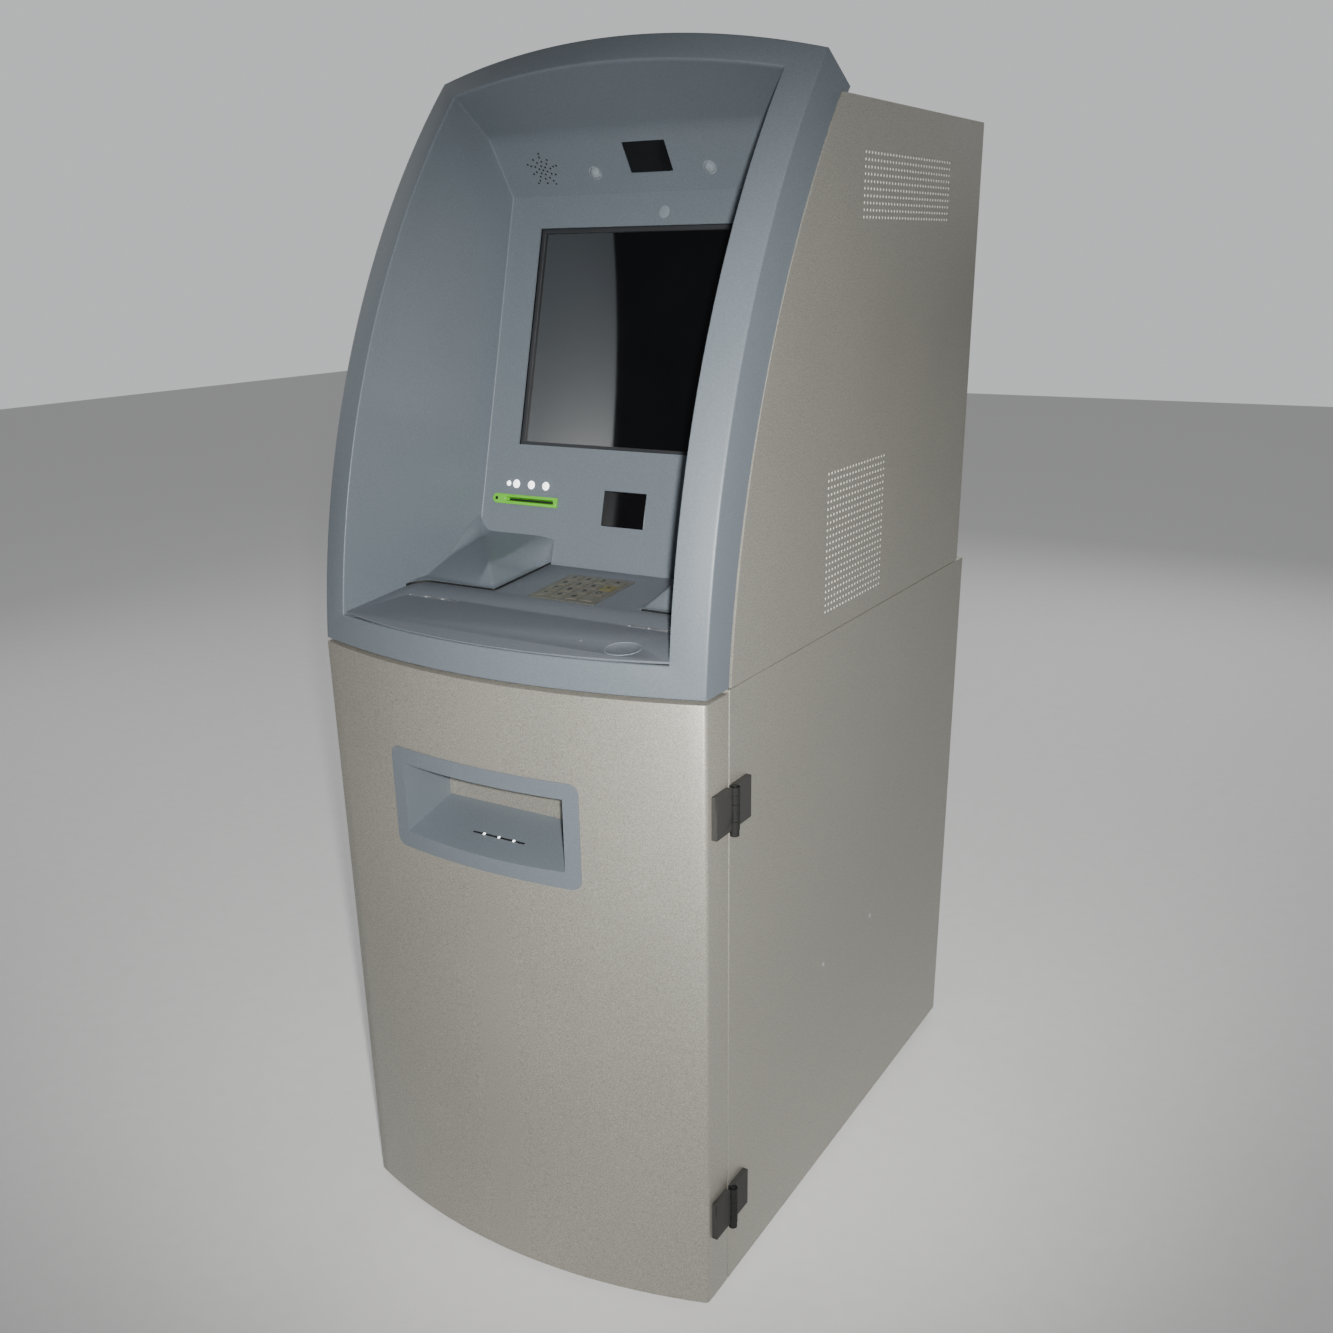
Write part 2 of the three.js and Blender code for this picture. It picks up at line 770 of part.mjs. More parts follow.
function openingShape() {
  const shape = new THREE.Shape();
  shape.moveTo(-OPENING_HALF_BOTTOM, OPENING_BOTTOM);
  shape.lineTo(OPENING_HALF_BOTTOM, OPENING_BOTTOM);
  shape.lineTo(OPENING_HALF_TOP, OPENING_TOP_SIDE);
  shape.quadraticCurveTo(
    0,
    2 * OPENING_TOP_MIDDLE - OPENING_TOP_SIDE,
    -OPENING_HALF_TOP,
    OPENING_TOP_SIDE,
  );
  return shape;
}

function buildFasciaFrame() {
  const outer = fasciaBlock(0, 0, FASCIA_DEPTH).subtract(aboveTopEdge(0));
  const hollow = fasciaBlock(FASCIA_WALL, FASCIA_WALL + 1, FASCIA_DEPTH + 8).subtract(
    aboveTopEdge(FASCIA_WALL),
  );
  return outer.subtract(hollow).subtract(prismY(openingShape(), -200, 500, 10));
}

// ---- User niche ---------------------------------------------------------------------------
function wallY(z) {
  return WALL_FOOT_Y + (z - WALL_FOOT_Z) * Math.tan(WALL_LEAN);
}

const WALL_TOP_Y = WALL_FOOT_Y + WALL_LENGTH * Math.sin(WALL_LEAN);
const WALL_TOP_Z = WALL_FOOT_Z + WALL_LENGTH * Math.cos(WALL_LEAN);
const PANEL_TOP_Y = WALL_TOP_Y - PANEL_LENGTH * Math.sin(PANEL_LEAN);
const PANEL_TOP_Z = WALL_TOP_Z + PANEL_LENGTH * Math.cos(PANEL_LEAN);
const CEILING_FRONT_Y = 262;
const CEILING_RISE = 0.722;

// Two side walls, the ceiling's front facet and the two shelf pods, moulded as one liner.
function buildNicheLiner() {
  const frontGap = 10;
  const sideBow = bowAt(NICHE_HALF) - frontGap + 2;
  const outline = arcPoints(-sideBow + 2, 925, OPENING_TOP_SIDE - 2, 14);
  outline.push(
    [PANEL_TOP_Y + 6, PANEL_TOP_Z + 5],
    [WALL_TOP_Y + 9, WALL_TOP_Z + 2],
    [WALL_FOOT_Y + 9, WALL_FOOT_Z],
    [WALL_FOOT_Y + 1, 925],
  );
  const sideShape = polygon(outline);
  const ceilingLow = (y) => PANEL_TOP_Z + 0.8 + (PANEL_TOP_Y - y) * CEILING_RISE;
  const ceiling = prismX(
    polygon([
      [PANEL_TOP_Y, ceilingLow(PANEL_TOP_Y)],
      [PANEL_TOP_Y, ceilingLow(PANEL_TOP_Y) + 4],
      [CEILING_FRONT_Y, ceilingLow(CEILING_FRONT_Y) + 4],
      [CEILING_FRONT_Y, ceilingLow(CEILING_FRONT_Y)],
    ]),
    -NICHE_HALF - 1,
    NICHE_HALF + 1,
  );
  // A pod is a low moulded shoulder in each back corner, beside the keypad.
  const podShape = polygon([
    [148, 944],
    [148, 951.5],
    [184, 979],
    [238, 977],
    [268, 986],
    [wallY(1012) - 1, 1012],
    [wallY(955) - 1, 955],
  ]);
  const ahead = curvedBlock({
    x0: -HALF - 10,
    x1: HALF + 10,
    z0: 900,
    z1: FASCIA_TOP,
    frontOffset: -120,
    backAt: () => 700,
    leaning: true,
    columns: 14,
    rows: 22,
  }).subtract(
    curvedBlock({
      x0: -HALF - 20,
      x1: HALF + 20,
      z0: 880,
      z1: FASCIA_TOP + 20,
      frontOffset: FASCIA_WALL + 2,
      backAt: () => 800,
      leaning: true,
      columns: 14,
      rows: 22,
    }),
  );
  const shell = unite([
    prismX(sideShape, -NICHE_HALF - LINER_WALL, -NICHE_HALF),
    prismX(sideShape, NICHE_HALF, NICHE_HALF + LINER_WALL),
    ceiling,
    prismX(podShape, -NICHE_HALF - 1, -SHELF_TONGUE_HALF - 0.6),
    prismX(podShape, SHELF_TONGUE_HALF + 0.6, NICHE_HALF + 1),
  ]);
  return shell.subtract(ahead);
}

// The leaning back wall carries the screen, the card entry and a dark scanner window.
const CARD = { x0: -233, x1: -118, low: 80, high: 94.5, slotX0: -209, slotX1: -124, slot: 87 };
const SCANNER = { half: 35.5, low: 61.5, high: 111.5 };

function buildScreenPanel() {
  const plate = box(-PANEL_HALF, PANEL_HALF, 0, SHEET, -32, WALL_LENGTH - 0.3);
  const rim = box(-SCREEN_HALF - 3, SCREEN_HALF + 3, SHEET - 1, SCREEN_RECESS, SCREEN_LOW - 3, SCREEN_HIGH + 3);
  const screenHole = box(-SCREEN_HALF, SCREEN_HALF, -5, 20, SCREEN_LOW, SCREEN_HIGH);
  const cardHole = box(CARD.x0 + 8, CARD.x1 - 3, -5, 20, CARD.low + 2, CARD.high - 2);
  const scannerHole = box(
    CONSOLE_X - SCANNER.half,
    CONSOLE_X + SCANNER.half,
    -5,
    20,
    SCANNER.low,
    SCANNER.high,
  );
  return plate.add(rim).subtract(screenHole).subtract(cardHole).subtract(scannerHole);
}

function buildCardBezel() {
  const round = (CARD.high - CARD.low) / 2;
  const face = new THREE.Shape();
  face.moveTo(CARD.x0 + round, CARD.low);
  face.lineTo(CARD.x1, CARD.low);
  face.lineTo(CARD.x1, CARD.high);
  face.lineTo(CARD.x0 + round, CARD.high);
  face.absarc(CARD.x0 + round, CARD.low + round, round, Math.PI / 2, 1.5 * Math.PI, false);
  const front = prismY(face, -6, -GAP, 8);
  const neck = box(CARD.x0 + 9, CARD.x1 - 4, -1, SHEET, CARD.low + 3, CARD.high - 3);
  const slot = box(CARD.slotX0, CARD.slotX1, -20, 20, CARD.slot - 1.6, CARD.slot + 1.6);
  return front.add(neck).subtract(slot);
}

function buildCardReader() {
  const body = box(CARD.x0 + 5, CARD.x1, SHEET + GAP, 190, 62, 112);
  const throat = box(CARD.slotX0, CARD.slotX1, 0, 60, CARD.slot - 2.5, CARD.slot + 2.5);
  const motor = cylinder("z", 111, 135, 16, [CARD.x0 + 30, 150], 20);
  return body.subtract(throat).add(motor);
}

function windowPlate(x0, x1, low, high) {
  return box(x0 + GAP, x1 - GAP, 0.6, SHEET, low + GAP, high - GAP);
}

// The upper panel leans out over the screen: camera window, speaker and two sensor lenses.
const CAMERA = { x0: -40, x1: 27, low: 29, high: 74 };
const SPEAKER = { x: -183, s: 40, radius: 27, depth: 20 };

function buildSensorPanel() {
  const plate = box(-PANEL_HALF, PANEL_HALF, 0, SHEET, 0.5, PANEL_LENGTH);
  return plate.subtract(box(CAMERA.x0, CAMERA.x1, -5, 10, CAMERA.low, CAMERA.high));
}

function buildSpeaker() {
  const basket = cylinder("y", SHEET + GAP, SHEET + 10, SPEAKER.radius, [SPEAKER.x, SPEAKER.s]);
  const magnet = cylinder("y", SHEET + 9, SHEET + SPEAKER.depth, 16, [SPEAKER.x, SPEAKER.s]);
  return basket.add(magnet);
}

// ---- Shelf and keypad ---------------------------------------------------------------------
const SLOT_HALF = 42;
const SLOT_DEPTH = 100;
const SLOT_CENTRES = [-180, 188];

function buildShelf() {
  const side = NICHE_HALF - 0.5;
  const lead = arcAt(SHELF_Z) + FASCIA_WALL + 1.6 - SHELF_Y;
  const corner = 14;
  const shape = new THREE.Shape();
  const steps = 12;
  for (let i = 0; i <= steps; i += 1) {
    const x = -side + (2 * side * i) / steps;
    const y = -bowAt(x) + lead;
    if (i === 0) {
      shape.moveTo(x, y);
    } else {
      shape.lineTo(x, y);
    }
  }
  shape.lineTo(side, SHELF_SHOULDER - corner);
  shape.absarc(side - corner, SHELF_SHOULDER - corner, corner, 0, Math.PI / 2, false);
  shape.lineTo(SHELF_TONGUE_HALF, SHELF_SHOULDER);
  shape.lineTo(SHELF_TONGUE_HALF, SHELF_BACK);
  shape.lineTo(-SHELF_TONGUE_HALF, SHELF_BACK);
  shape.lineTo(-SHELF_TONGUE_HALF, SHELF_SHOULDER);
  shape.lineTo(-side + corner, SHELF_SHOULDER);
  shape.absarc(-side + corner, SHELF_SHOULDER - corner, corner, Math.PI / 2, Math.PI, false);
  let plate = prismZ(shape, -SHEET, 0, 4);
  const hole = KEYPAD_SIZE / 2 + GAP;
  plate = plate.subtract(
    box(CONSOLE_X - hole, CONSOLE_X + hole, KEYPAD_CENTRE - hole, KEYPAD_CENTRE + hole, -10, 10),
  );
  for (const centre of SLOT_CENTRES) {
    plate = plate.subtract(
      box(centre - SLOT_HALF, centre + SLOT_HALF, SLOT_DEPTH - 2, SLOT_DEPTH + 2, -10, 10),
    );
  }
  return plate;
}

function keyCentre(row, column) {
  return [CONSOLE_X + (column - 1.5) * KEY_PITCH, KEYPAD_CENTRE + (1.5 - row) * KEY_PITCH];
}

function buildKeypadFrame() {
  const half = KEYPAD_SIZE / 2;
  let block = box(
    CONSOLE_X - half,
    CONSOLE_X + half,
    KEYPAD_CENTRE - half,
    KEYPAD_CENTRE + half,
    -12,
    1,
  );
  const pocket = KEY_SIZE / 2 + GAP;
  for (let row = 0; row < 4; row += 1) {
    for (let column = 0; column < 4; column += 1) {
      const [x, y] = keyCentre(row, column);
      block = block.subtract(box(x - pocket, x + pocket, y - pocket, y + pocket, -7.5, 5));
    }
  }
  return block;
}

function buildKey() {
  const half = KEY_SIZE / 2;
  return prismZ(roundedRectangle(-half, half, -half, half, 2), -5, KEY_TRAVEL + 1, 2);
}

// ---- Electronics bay ----------------------------------------------------------------------
const BAY_FLOOR = LOWER_TOP + GAP;

function buildControlComputer() {
  const body = box(-60, 220, 560, 830, BAY_FLOOR + 8, BAY_FLOOR + 110);
  const feet = [];
  for (const x of [-50, 195]) {
    for (const y of [570, 805]) {
      feet.push(box(x, x + 15, y, y + 15, BAY_FLOOR, BAY_FLOOR + 9));
    }
  }
  const lid = box(-62, 222, 558, 832, BAY_FLOOR + 106, BAY_FLOOR + 112);
  return unite([body, lid, ...feet]);
}

const PRINTER = { x0: -240, x1: -120, y0: 520, y1: 680, rollY: 640, rollZ: 1012 };

function buildReceiptPrinter() {
  const base = box(PRINTER.x0, PRINTER.x1, PRINTER.y0, PRINTER.y1, BAY_FLOOR, 962);
  const upright = (x0) =>
    box(x0, x0 + 4, PRINTER.rollY - 25, PRINTER.rollY + 25, 960, PRINTER.rollZ + 20);
  const head = prismX(
    polygon([
      [PRINTER.y0, 960],
      [PRINTER.y0 + 60, 960],
      [PRINTER.y0 + 50, 1000],
      [PRINTER.y0 + 12, 1000],
    ]),
    PRINTER.x0 + 8,
    PRINTER.x1 - 8,
  );
  const spindleHole = cylinder(
    "x",
    PRINTER.x0 - 5,
    PRINTER.x1 + 5,
    4 + GAP,
    [PRINTER.rollY, PRINTER.rollZ],
    16,
  );
  return unite([base, upright(PRINTER.x0), upright(PRINTER.x1 - 4), head]).subtract(spindleHole);
}

function buildPaperRoll() {
  const centre = [PRINTER.rollY, PRINTER.rollZ];
  const roll = cylinder("x", PRINTER.x0 + 10, PRINTER.x1 - 10, 38, centre, 28);
  const spindle = cylinder("x", PRINTER.x0 + 1, PRINTER.x1 - 1, 4, centre, 16);
  return roll.add(spindle);
}

const FAN = { x0: 271.5, x1: 296.5, y: 425, z: 1032, half: 60, bore: 57, blades: 7, shaft: 3 };

function buildFanHousing() {
  const centre = [FAN.y, FAN.z];
  const block = box(FAN.x0, FAN.x1, FAN.y - FAN.half, FAN.y + FAN.half, FAN.z - FAN.half, FAN.z + FAN.half);
  const bore = cylinder("x", FAN.x0 - 5, FAN.x1 + 5, FAN.bore, centre, 32);
  const struts = unite([
    box(FAN.x0, FAN.x0 + 3, FAN.y - 58, FAN.y + 58, FAN.z - 3, FAN.z + 3),
    box(FAN.x0, FAN.x0 + 3, FAN.y - 3, FAN.y + 3, FAN.z - 58, FAN.z + 58),
    cylinder("x", FAN.x0, FAN.x0 + 3, 20, centre, 20),
  ]);
  const shaftHole = cylinder("x", FAN.x0 - 5, FAN.x0 + 8, FAN.shaft + GAP, centre, 20);
  return block.subtract(bore).add(struts).subtract(shaftHole);
}

function buildFanRotor() {
  const centre = [FAN.y, FAN.z];
  const pieces = [
    cylinder("x", FAN.x0 + 4, FAN.x1 - 4, 19, centre, 20),
    cylinder("x", FAN.x0 + 0.5, FAN.x0 + 6, FAN.shaft, centre, 20),
  ];
  for (let k = 0; k < FAN.blades; k += 1) {
    const blade = new THREE.BoxGeometry(14, 2.2, 38);
    blade.rotateZ(THREE.MathUtils.degToRad(35));
    blade.translate((FAN.x0 + FAN.x1) / 2, 0, 35);
    blade.rotateX((2 * Math.PI * k) / FAN.blades);
    blade.translate(0, FAN.y, FAN.z);
    pieces.push(solidOf(blade));
  }
  return unite(pieces);
}

// ---- Assembly -----------------------------------------------------------------------------
addPiece(machine, "lower_cabinet", buildLowerCabinet(), silverPaint);
addPiece(machine, "power_inlet", buildPowerInlet(), darkPlastic);

const footPlaces = [
  [-250, 115],
  [250, 115],
  [-250, 840],
  [250, 840],
];
footPlaces.forEach(([x, y], index) => {
  const foot = addPiece(machine, `levelling_foot_${index + 1}`, footProfile(), blackSteel);
  foot.position.set(x, y, 0);
});

addPiece(machine, "front_door", buildFrontDoor(), silverPaint);
addPiece(machine, "dispenser_bezel", buildDispenserBezel(), fasciaPaint);
addPiece(machine, "dispenser_shutter", buildDispenserShutter(), silverPaint);
addPiece(machine, "lock_case", buildLockCase(), bareSteel);
addPiece(machine, "lock_bolt", buildLockBolt(), bareSteel);

for (const [place, height] of Object.entries(HINGE_HEIGHTS)) {
  addPiece(machine, `${place}_hinge_door_leaf`, buildHingeLeaf(height, -1, 1), blackSteel);
  addPiece(machine, `${place}_hinge_cabinet_leaf`, buildHingeLeaf(height, 1, 0), blackSteel);
  addPiece(machine, `${place}_hinge_pin`, buildHingePin(height), blackSteel);
}

addPiece(machine, "dispenser_rack", buildDispenserRack(), bareSteel);
addPiece(machine, "note_presenter", buildNotePresenter(), darkPlastic);
for (let bay = 0; bay < 3; bay += 1) {
  const cassette = buildCassette(BAY_FLOORS[bay], CASSETTE.height);
  addPiece(machine, `cash_cassette_${bay + 1}`, cassette, cassettePlastic);
}
addPiece(machine, "reject_bin", buildCassette(BAY_FLOORS[3], REJECT_HEIGHT), cassettePlastic);

addPiece(machine, "upper_cabinet", buildUpperCabinet(), silverPaint);
addPiece(machine, "rear_service_door", buildRearServiceDoor(), silverPaint);
addPiece(machine, "rear_lock_cam", buildRearLockCam(), bareSteel);
addPiece(machine, "fascia_frame", buildFasciaFrame(), fasciaPaint);
addPiece(machine, "niche_liner", buildNicheLiner(), fasciaPaint);

const wall = tiltedGroup(WALL_FOOT_Y, WALL_FOOT_Z, -WALL_LEAN);
addPiece(wall, "screen_panel", buildScreenPanel(), fasciaPaint);
addPiece(
  wall,
  "screen_glass",
  box(-206, 206, SCREEN_RECESS + GAP, SCREEN_RECESS + 3.3, SCREEN_LOW - 6, SCREEN_HIGH + 6),
  darkGlass,
);
addPiece(
  wall,
  "monitor",
  box(-215, 215, SCREEN_RECESS + 3.6, SCREEN_RECESS + 48, SCREEN_LOW - 14, SCREEN_HIGH + 14),
  darkPlastic,
);
addPiece(wall, "card_bezel", buildCardBezel(), greenPlastic);
addPiece(wall, "card_reader", buildCardReader(), darkPlastic);
addPiece(
  wall,
  "scanner_window",
  windowPlate(CONSOLE_X - SCANNER.half, CONSOLE_X + SCANNER.half, SCANNER.low, SCANNER.high),
  darkGlass,
);

const panel = tiltedGroup(WALL_TOP_Y, WALL_TOP_Z, PANEL_LEAN);
addPiece(panel, "sensor_panel", buildSensorPanel(), fasciaPaint);
addPiece(
  panel,
  "camera_window",
  windowPlate(CAMERA.x0, CAMERA.x1, CAMERA.low, CAMERA.high),
  darkGlass,
);
addPiece(panel, "speaker", buildSpeaker(), darkPlastic);

const desk = tiltedGroup(SHELF_Y, SHELF_Z, SHELF_SLOPE);
addPiece(desk, "shelf", buildShelf(), shelfPaint);
addPiece(desk, "keypad_frame", buildKeypadFrame(), bronzeMetal);
for (let row = 0; row < 4; row += 1) {
  for (let column = 0; column < 4; column += 1) {
    const key = addPiece(desk, `key_${row + 1}_${column + 1}`, buildKey(), bronzeMetal);
    const [x, y] = keyCentre(row, column);
    key.position.set(x, y, 0);
  }
}

addPiece(machine, "control_computer", buildControlComputer(), darkPlastic);
addPiece(machine, "receipt_printer", buildReceiptPrinter(), darkPlastic);
addPiece(machine, "paper_roll", buildPaperRoll(), whitePaper);
addPiece(machine, "fan_housing", buildFanHousing(), darkPlastic);
addPiece(machine, "fan_rotor", buildFanRotor(), darkPlastic);

// The origin is the bottom centre of the machine's own box: the key barrel stands out on the
// left, the hinge knuckles on the right, the recess border in front and the inlet behind.
const leftmost = -HALF - 3;
const rightmost = HINGE_X + KNUCKLE_RADIUS;
const foremost = -BOW - BORDER_PROUD;
const rearmost = LOWER_BACK + 3;
machine.position.set(-(leftmost + rightmost) / 2, -(foremost + rearmost) / 2, 0);

export default machine;
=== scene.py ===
"""Free-standing lobby cash machine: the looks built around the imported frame.

Lengths in this file are millimetres in the machine's own layout (x = 0 in the middle of the
cabinet, y = 0 at the door's front corners, z = 0 on the floor) and are turned into the frame's
metres by place().
"""

import json
import math

import bmesh
import bpy
from mathutils import Matrix, Vector

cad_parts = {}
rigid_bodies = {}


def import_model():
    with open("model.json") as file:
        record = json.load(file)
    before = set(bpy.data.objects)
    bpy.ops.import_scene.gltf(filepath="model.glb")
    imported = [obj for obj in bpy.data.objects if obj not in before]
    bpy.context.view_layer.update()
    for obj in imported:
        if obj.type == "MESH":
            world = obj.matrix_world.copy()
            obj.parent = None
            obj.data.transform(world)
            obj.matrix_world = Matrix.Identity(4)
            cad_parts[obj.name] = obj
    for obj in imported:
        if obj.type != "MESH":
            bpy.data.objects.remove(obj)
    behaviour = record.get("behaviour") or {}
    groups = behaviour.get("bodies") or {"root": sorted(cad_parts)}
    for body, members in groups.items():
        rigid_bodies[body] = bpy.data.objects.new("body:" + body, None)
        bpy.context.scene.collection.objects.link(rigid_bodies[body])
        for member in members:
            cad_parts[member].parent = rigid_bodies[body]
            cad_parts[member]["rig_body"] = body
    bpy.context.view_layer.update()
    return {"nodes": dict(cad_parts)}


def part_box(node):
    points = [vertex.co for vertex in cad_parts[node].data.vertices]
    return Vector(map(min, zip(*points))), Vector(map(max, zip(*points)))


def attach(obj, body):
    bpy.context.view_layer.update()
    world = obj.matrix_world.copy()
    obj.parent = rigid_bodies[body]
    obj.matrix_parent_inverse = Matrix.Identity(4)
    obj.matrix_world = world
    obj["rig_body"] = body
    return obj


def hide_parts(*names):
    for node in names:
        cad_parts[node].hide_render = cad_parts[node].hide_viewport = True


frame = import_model()

# ---- Layout shared with the frame -------------------------------------------------------------
HALF = 300.0
BOW = 52.0
CABINET_FRONT = 57.0
KEEPER_REACH = 32.0  # the door's keeper tab stands this far ahead of the cabinet's front
ARC_RADIUS = 1164.0
ARC_Y = 1161.6
ARC_Z = 799.6
CABINET_ARC = 60.0
UPPER_BOTTOM = 894.5
UPPER_BACK = 866.0
ROOF = 1561.0
WALL_LEAN = math.radians(15)
WALL_Y = 285.0
WALL_Z = 960.0
WALL_LENGTH = 521.0
PANEL_LEAN = math.radians(33.7)
PANEL_LENGTH = 90.0
SHELF_SLOPE = math.radians(4.4)
SHELF_Y = -10.0
SHELF_Z = 937.0
NICHE_HALF = 255.0

cabinet_low, cabinet_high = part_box("lower_cabinet")
ORIGIN = Vector(
    (
        (cabinet_low.x + cabinet_high.x) / 2,
        cabinet_low.y - CABINET_FRONT / 1000 + KEEPER_REACH / 1000,
        0,
    )
)
STAND = Matrix.Translation(ORIGIN)  # from the layout's origin to the frame's


def place(x, y, z):
    return Vector((x / 1000, y / 1000, z / 1000)) + ORIGIN


def bow(x):
    return BOW * (1 - (x / HALF) ** 2)


def arc(z):
    return ARC_Y - math.sqrt(ARC_RADIUS**2 - (z - ARC_Z) ** 2)


def lerp(a, b, t):
    return a + (b - a) * t


def smooth_step(t):
    t = min(1.0, max(0.0, t))
    return t * t * (3 - 2 * t)


# ---- Materials --------------------------------------------------------------------------------
class Shading:
    """A node tree, with short ways to add what the surfaces and the sky are made of."""

    def __init__(self, tree):
        self.nodes = tree.nodes
        self.link = tree.links.new

    def add(self, kind, source, into, values):
        """A new node with the source linked to one input and values set on others."""
        node = self.nodes.new(kind)
        for name, value in values.items():
            node.inputs[name].default_value = value
        self.link(source, node.inputs[into])
        return node

    def ramp(self, source, *stops):
        node = self.add("ShaderNodeValToRGB", source, "Fac", {})
        for element, (position, colour) in zip(node.color_ramp.elements, stops):
            element.position = position
            element.color = (*colour, 1.0)
        return node.outputs["Color"]

    def spread(self, source, low, high):
        values = {"To Min": low, "To Max": high}
        return self.add("ShaderNodeMapRange", source, "Value", values).outputs["Result"]

    def mixed(self, factor, source, colour):
        """Goes from the source's colour to a plain one as the factor rises."""
        node = self.nodes.new("ShaderNodeMix")
        node.data_type = "RGBA"
        inputs = {socket.name: socket for socket in node.inputs if socket.enabled}
        self.link(factor, inputs["Factor"])
        self.link(source, inputs["A"])
        inputs["B"].default_value = (*colour, 1.0)
        return [socket for socket in node.outputs if socket.enabled][0]


class Surface(Shading):
    """A new material."""

    def __init__(self, name):
        self.material = bpy.data.materials.new(name)
        self.material.use_nodes = True
        super().__init__(self.material.node_tree)
        self.inputs = self.nodes["Principled BSDF"].inputs
        self.where = self.nodes.new("ShaderNodeTexCoord").outputs["Object"]

    def set(self, name, value):
        self.inputs[name].default_value = value

    def noise(self, scale, detail=4.0, rough=0.55):
        values = {"Scale": scale, "Detail": detail, "Roughness": rough}
        return self.add("ShaderNodeTexNoise", self.where, "Vector", values).outputs["Fac"]

    def colour(self, source, *stops):
        self.link(self.ramp(source, *stops), self.inputs["Base Color"])

    def roughness(self, source, low, high):
        self.link(self.spread(source, low, high), self.inputs["Roughness"])

    def bump(self, height, strength, distance):
        values = {"Strength": strength, "Distance": distance}
        node = self.add("ShaderNodeBump", height, "Height", values)
        self.link(node.outputs["Normal"], self.inputs["Normal"])


def shades(colour, darker, lighter):
    """The two ends of a ramp round a colour."""
    return (0.3, [c * darker for c in colour]), (0.7, [min(1.0, c * lighter) for c in colour])


def painted(name, dark, light, grain, roughness, strength, metallic=0.0, worn=0.0):
    """Powder coat: a fine grain of two shades, broad soft patches and an orange-peel surface."""
    surface = Surface(name)
    fine = surface.noise(grain, 3.0, 0.7)
    broad = surface.noise(4.0, 3.0, 0.5)
    shade = surface.nodes.new("ShaderNodeVectorMath")
    shade.operation = "SCALE"
    surface.link(surface.ramp(fine, (0.36, dark), (0.64, light)), shade.inputs[0])
    surface.link(surface.spread(broad, 0.93, 1.06), shade.inputs["Scale"])
    colour = shade.outputs["Vector"]
    if worn:
        edges = surface.nodes.new("ShaderNodeNewGeometry").outputs["Pointiness"]
        edge = surface.spread(edges, 0.0, 1.0)
        mask = surface.ramp(edge, (0.53, (0, 0, 0)), (0.6, (worn,) * 3))
        colour = surface.mixed(mask, colour, (0.45, 0.44, 0.42))
    surface.link(colour, surface.inputs["Base Color"])
    surface.roughness(broad, roughness - 0.06, roughness + 0.07)
    surface.set("Metallic", metallic)
    surface.bump(fine, strength, 0.0004)
    return surface.material


def plastic(name, colour, roughness, grain=900.0, strength=0.06):
    surface = Surface(name)
    fine = surface.noise(grain, 2.0, 0.5)
    surface.colour(surface.noise(12.0, 3.0, 0.5), *shades(colour, 0.86, 1.12))
    surface.roughness(fine, roughness - 0.05, roughness + 0.08)
    surface.bump(fine, strength, 0.0003)
    return surface.material


def brushed(name, colour, roughness, stretch=(1.0, 40.0, 1.0)):
    surface = Surface(name)
    mapping = surface.add("ShaderNodeMapping", surface.where, "Vector", {"Scale": stretch})
    surface.where = mapping.outputs["Vector"]
    lines = surface.noise(60.0, 5.0, 0.65)
    surface.colour(lines, *shades(colour, 0.72, 1.18))
    surface.roughness(lines, roughness - 0.08, roughness + 0.12)
    surface.set("Metallic", 0.85)
    surface.bump(lines, 0.12, 0.0002)
    return surface.material


def glossy_glass(name, colour, roughness, ior=1.5):
    surface = Surface(name)
    surface.set("IOR", ior)
    smear = surface.noise(9.0, 5.0, 0.6)
    surface.colour(smear, (0.35, colour), (0.8, [c * 1.7 for c in colour]))
    surface.roughness(smear, roughness, roughness + 0.07)
    return surface.material


def clear_lens(name):
    surface = Surface(name)
    surface.colour(surface.noise(200.0, 3.0), (0.3, (0.19, 0.22, 0.25)), (0.7, (0.3, 0.33, 0.36)))
    surface.set("Roughness", 0.08)
    return surface.material


def glowing(name, colour, power):
    surface = Surface(name)
    surface.colour(surface.noise(800.0, 2.0), *shades(colour, 0.9, 1.0))
    surface.set("Emission Color", (*colour, 1.0))
    surface.set("Emission Strength", power)
    surface.set("Roughness", 0.3)
    return surface.material


SILVER = painted(
    "silver_powder_coat", (0.27, 0.26, 0.225), (0.47, 0.455, 0.40), 640.0, 0.46, 0.3, 0.45
)
BLUE_GREY = painted(
    "blue_grey_satin", (0.129, 0.155, 0.178), (0.163, 0.189, 0.216), 520.0, 0.42, 0.14
)
# A darker copy of the niche's blue-grey for the pods, which are the same moulding: painted shade
# on their sloping faces.
POD_PAINTED_SHADE_GREY = painted(
    "pod_blue_grey_painted_shade", (0.111, 0.133, 0.153), (0.14, 0.163, 0.186), 520.0, 0.42, 0.14
)
# Pale blue-grey: the round mark's own colour, and on the dish's rim a painted highlight.
PALE_MARK_GREY_AND_RIM_HIGHLIGHT = painted(
    "blue_grey_pale_and_rim_highlight", (0.2, 0.24, 0.275), (0.24, 0.28, 0.315), 520.0, 0.45, 0.14
)
SHELF_GREY = painted(
    "shelf_grey", (0.124, 0.14, 0.166), (0.176, 0.195, 0.224), 700.0, 0.55, 0.22
)
BLACK_STEEL = painted(
    "black_steel", (0.005, 0.0055, 0.0055), (0.011, 0.012, 0.012), 500.0, 0.62, 0.3, 0.0, 0.1
)
BLACK_STEEL.node_tree.nodes["Principled BSDF"].inputs["Specular IOR Level"].default_value = 0.2
BARE_STEEL = brushed("bare_steel", (0.5, 0.51, 0.53), 0.34)
LIP = brushed("bright_lip", (0.75, 0.76, 0.77), 0.3)
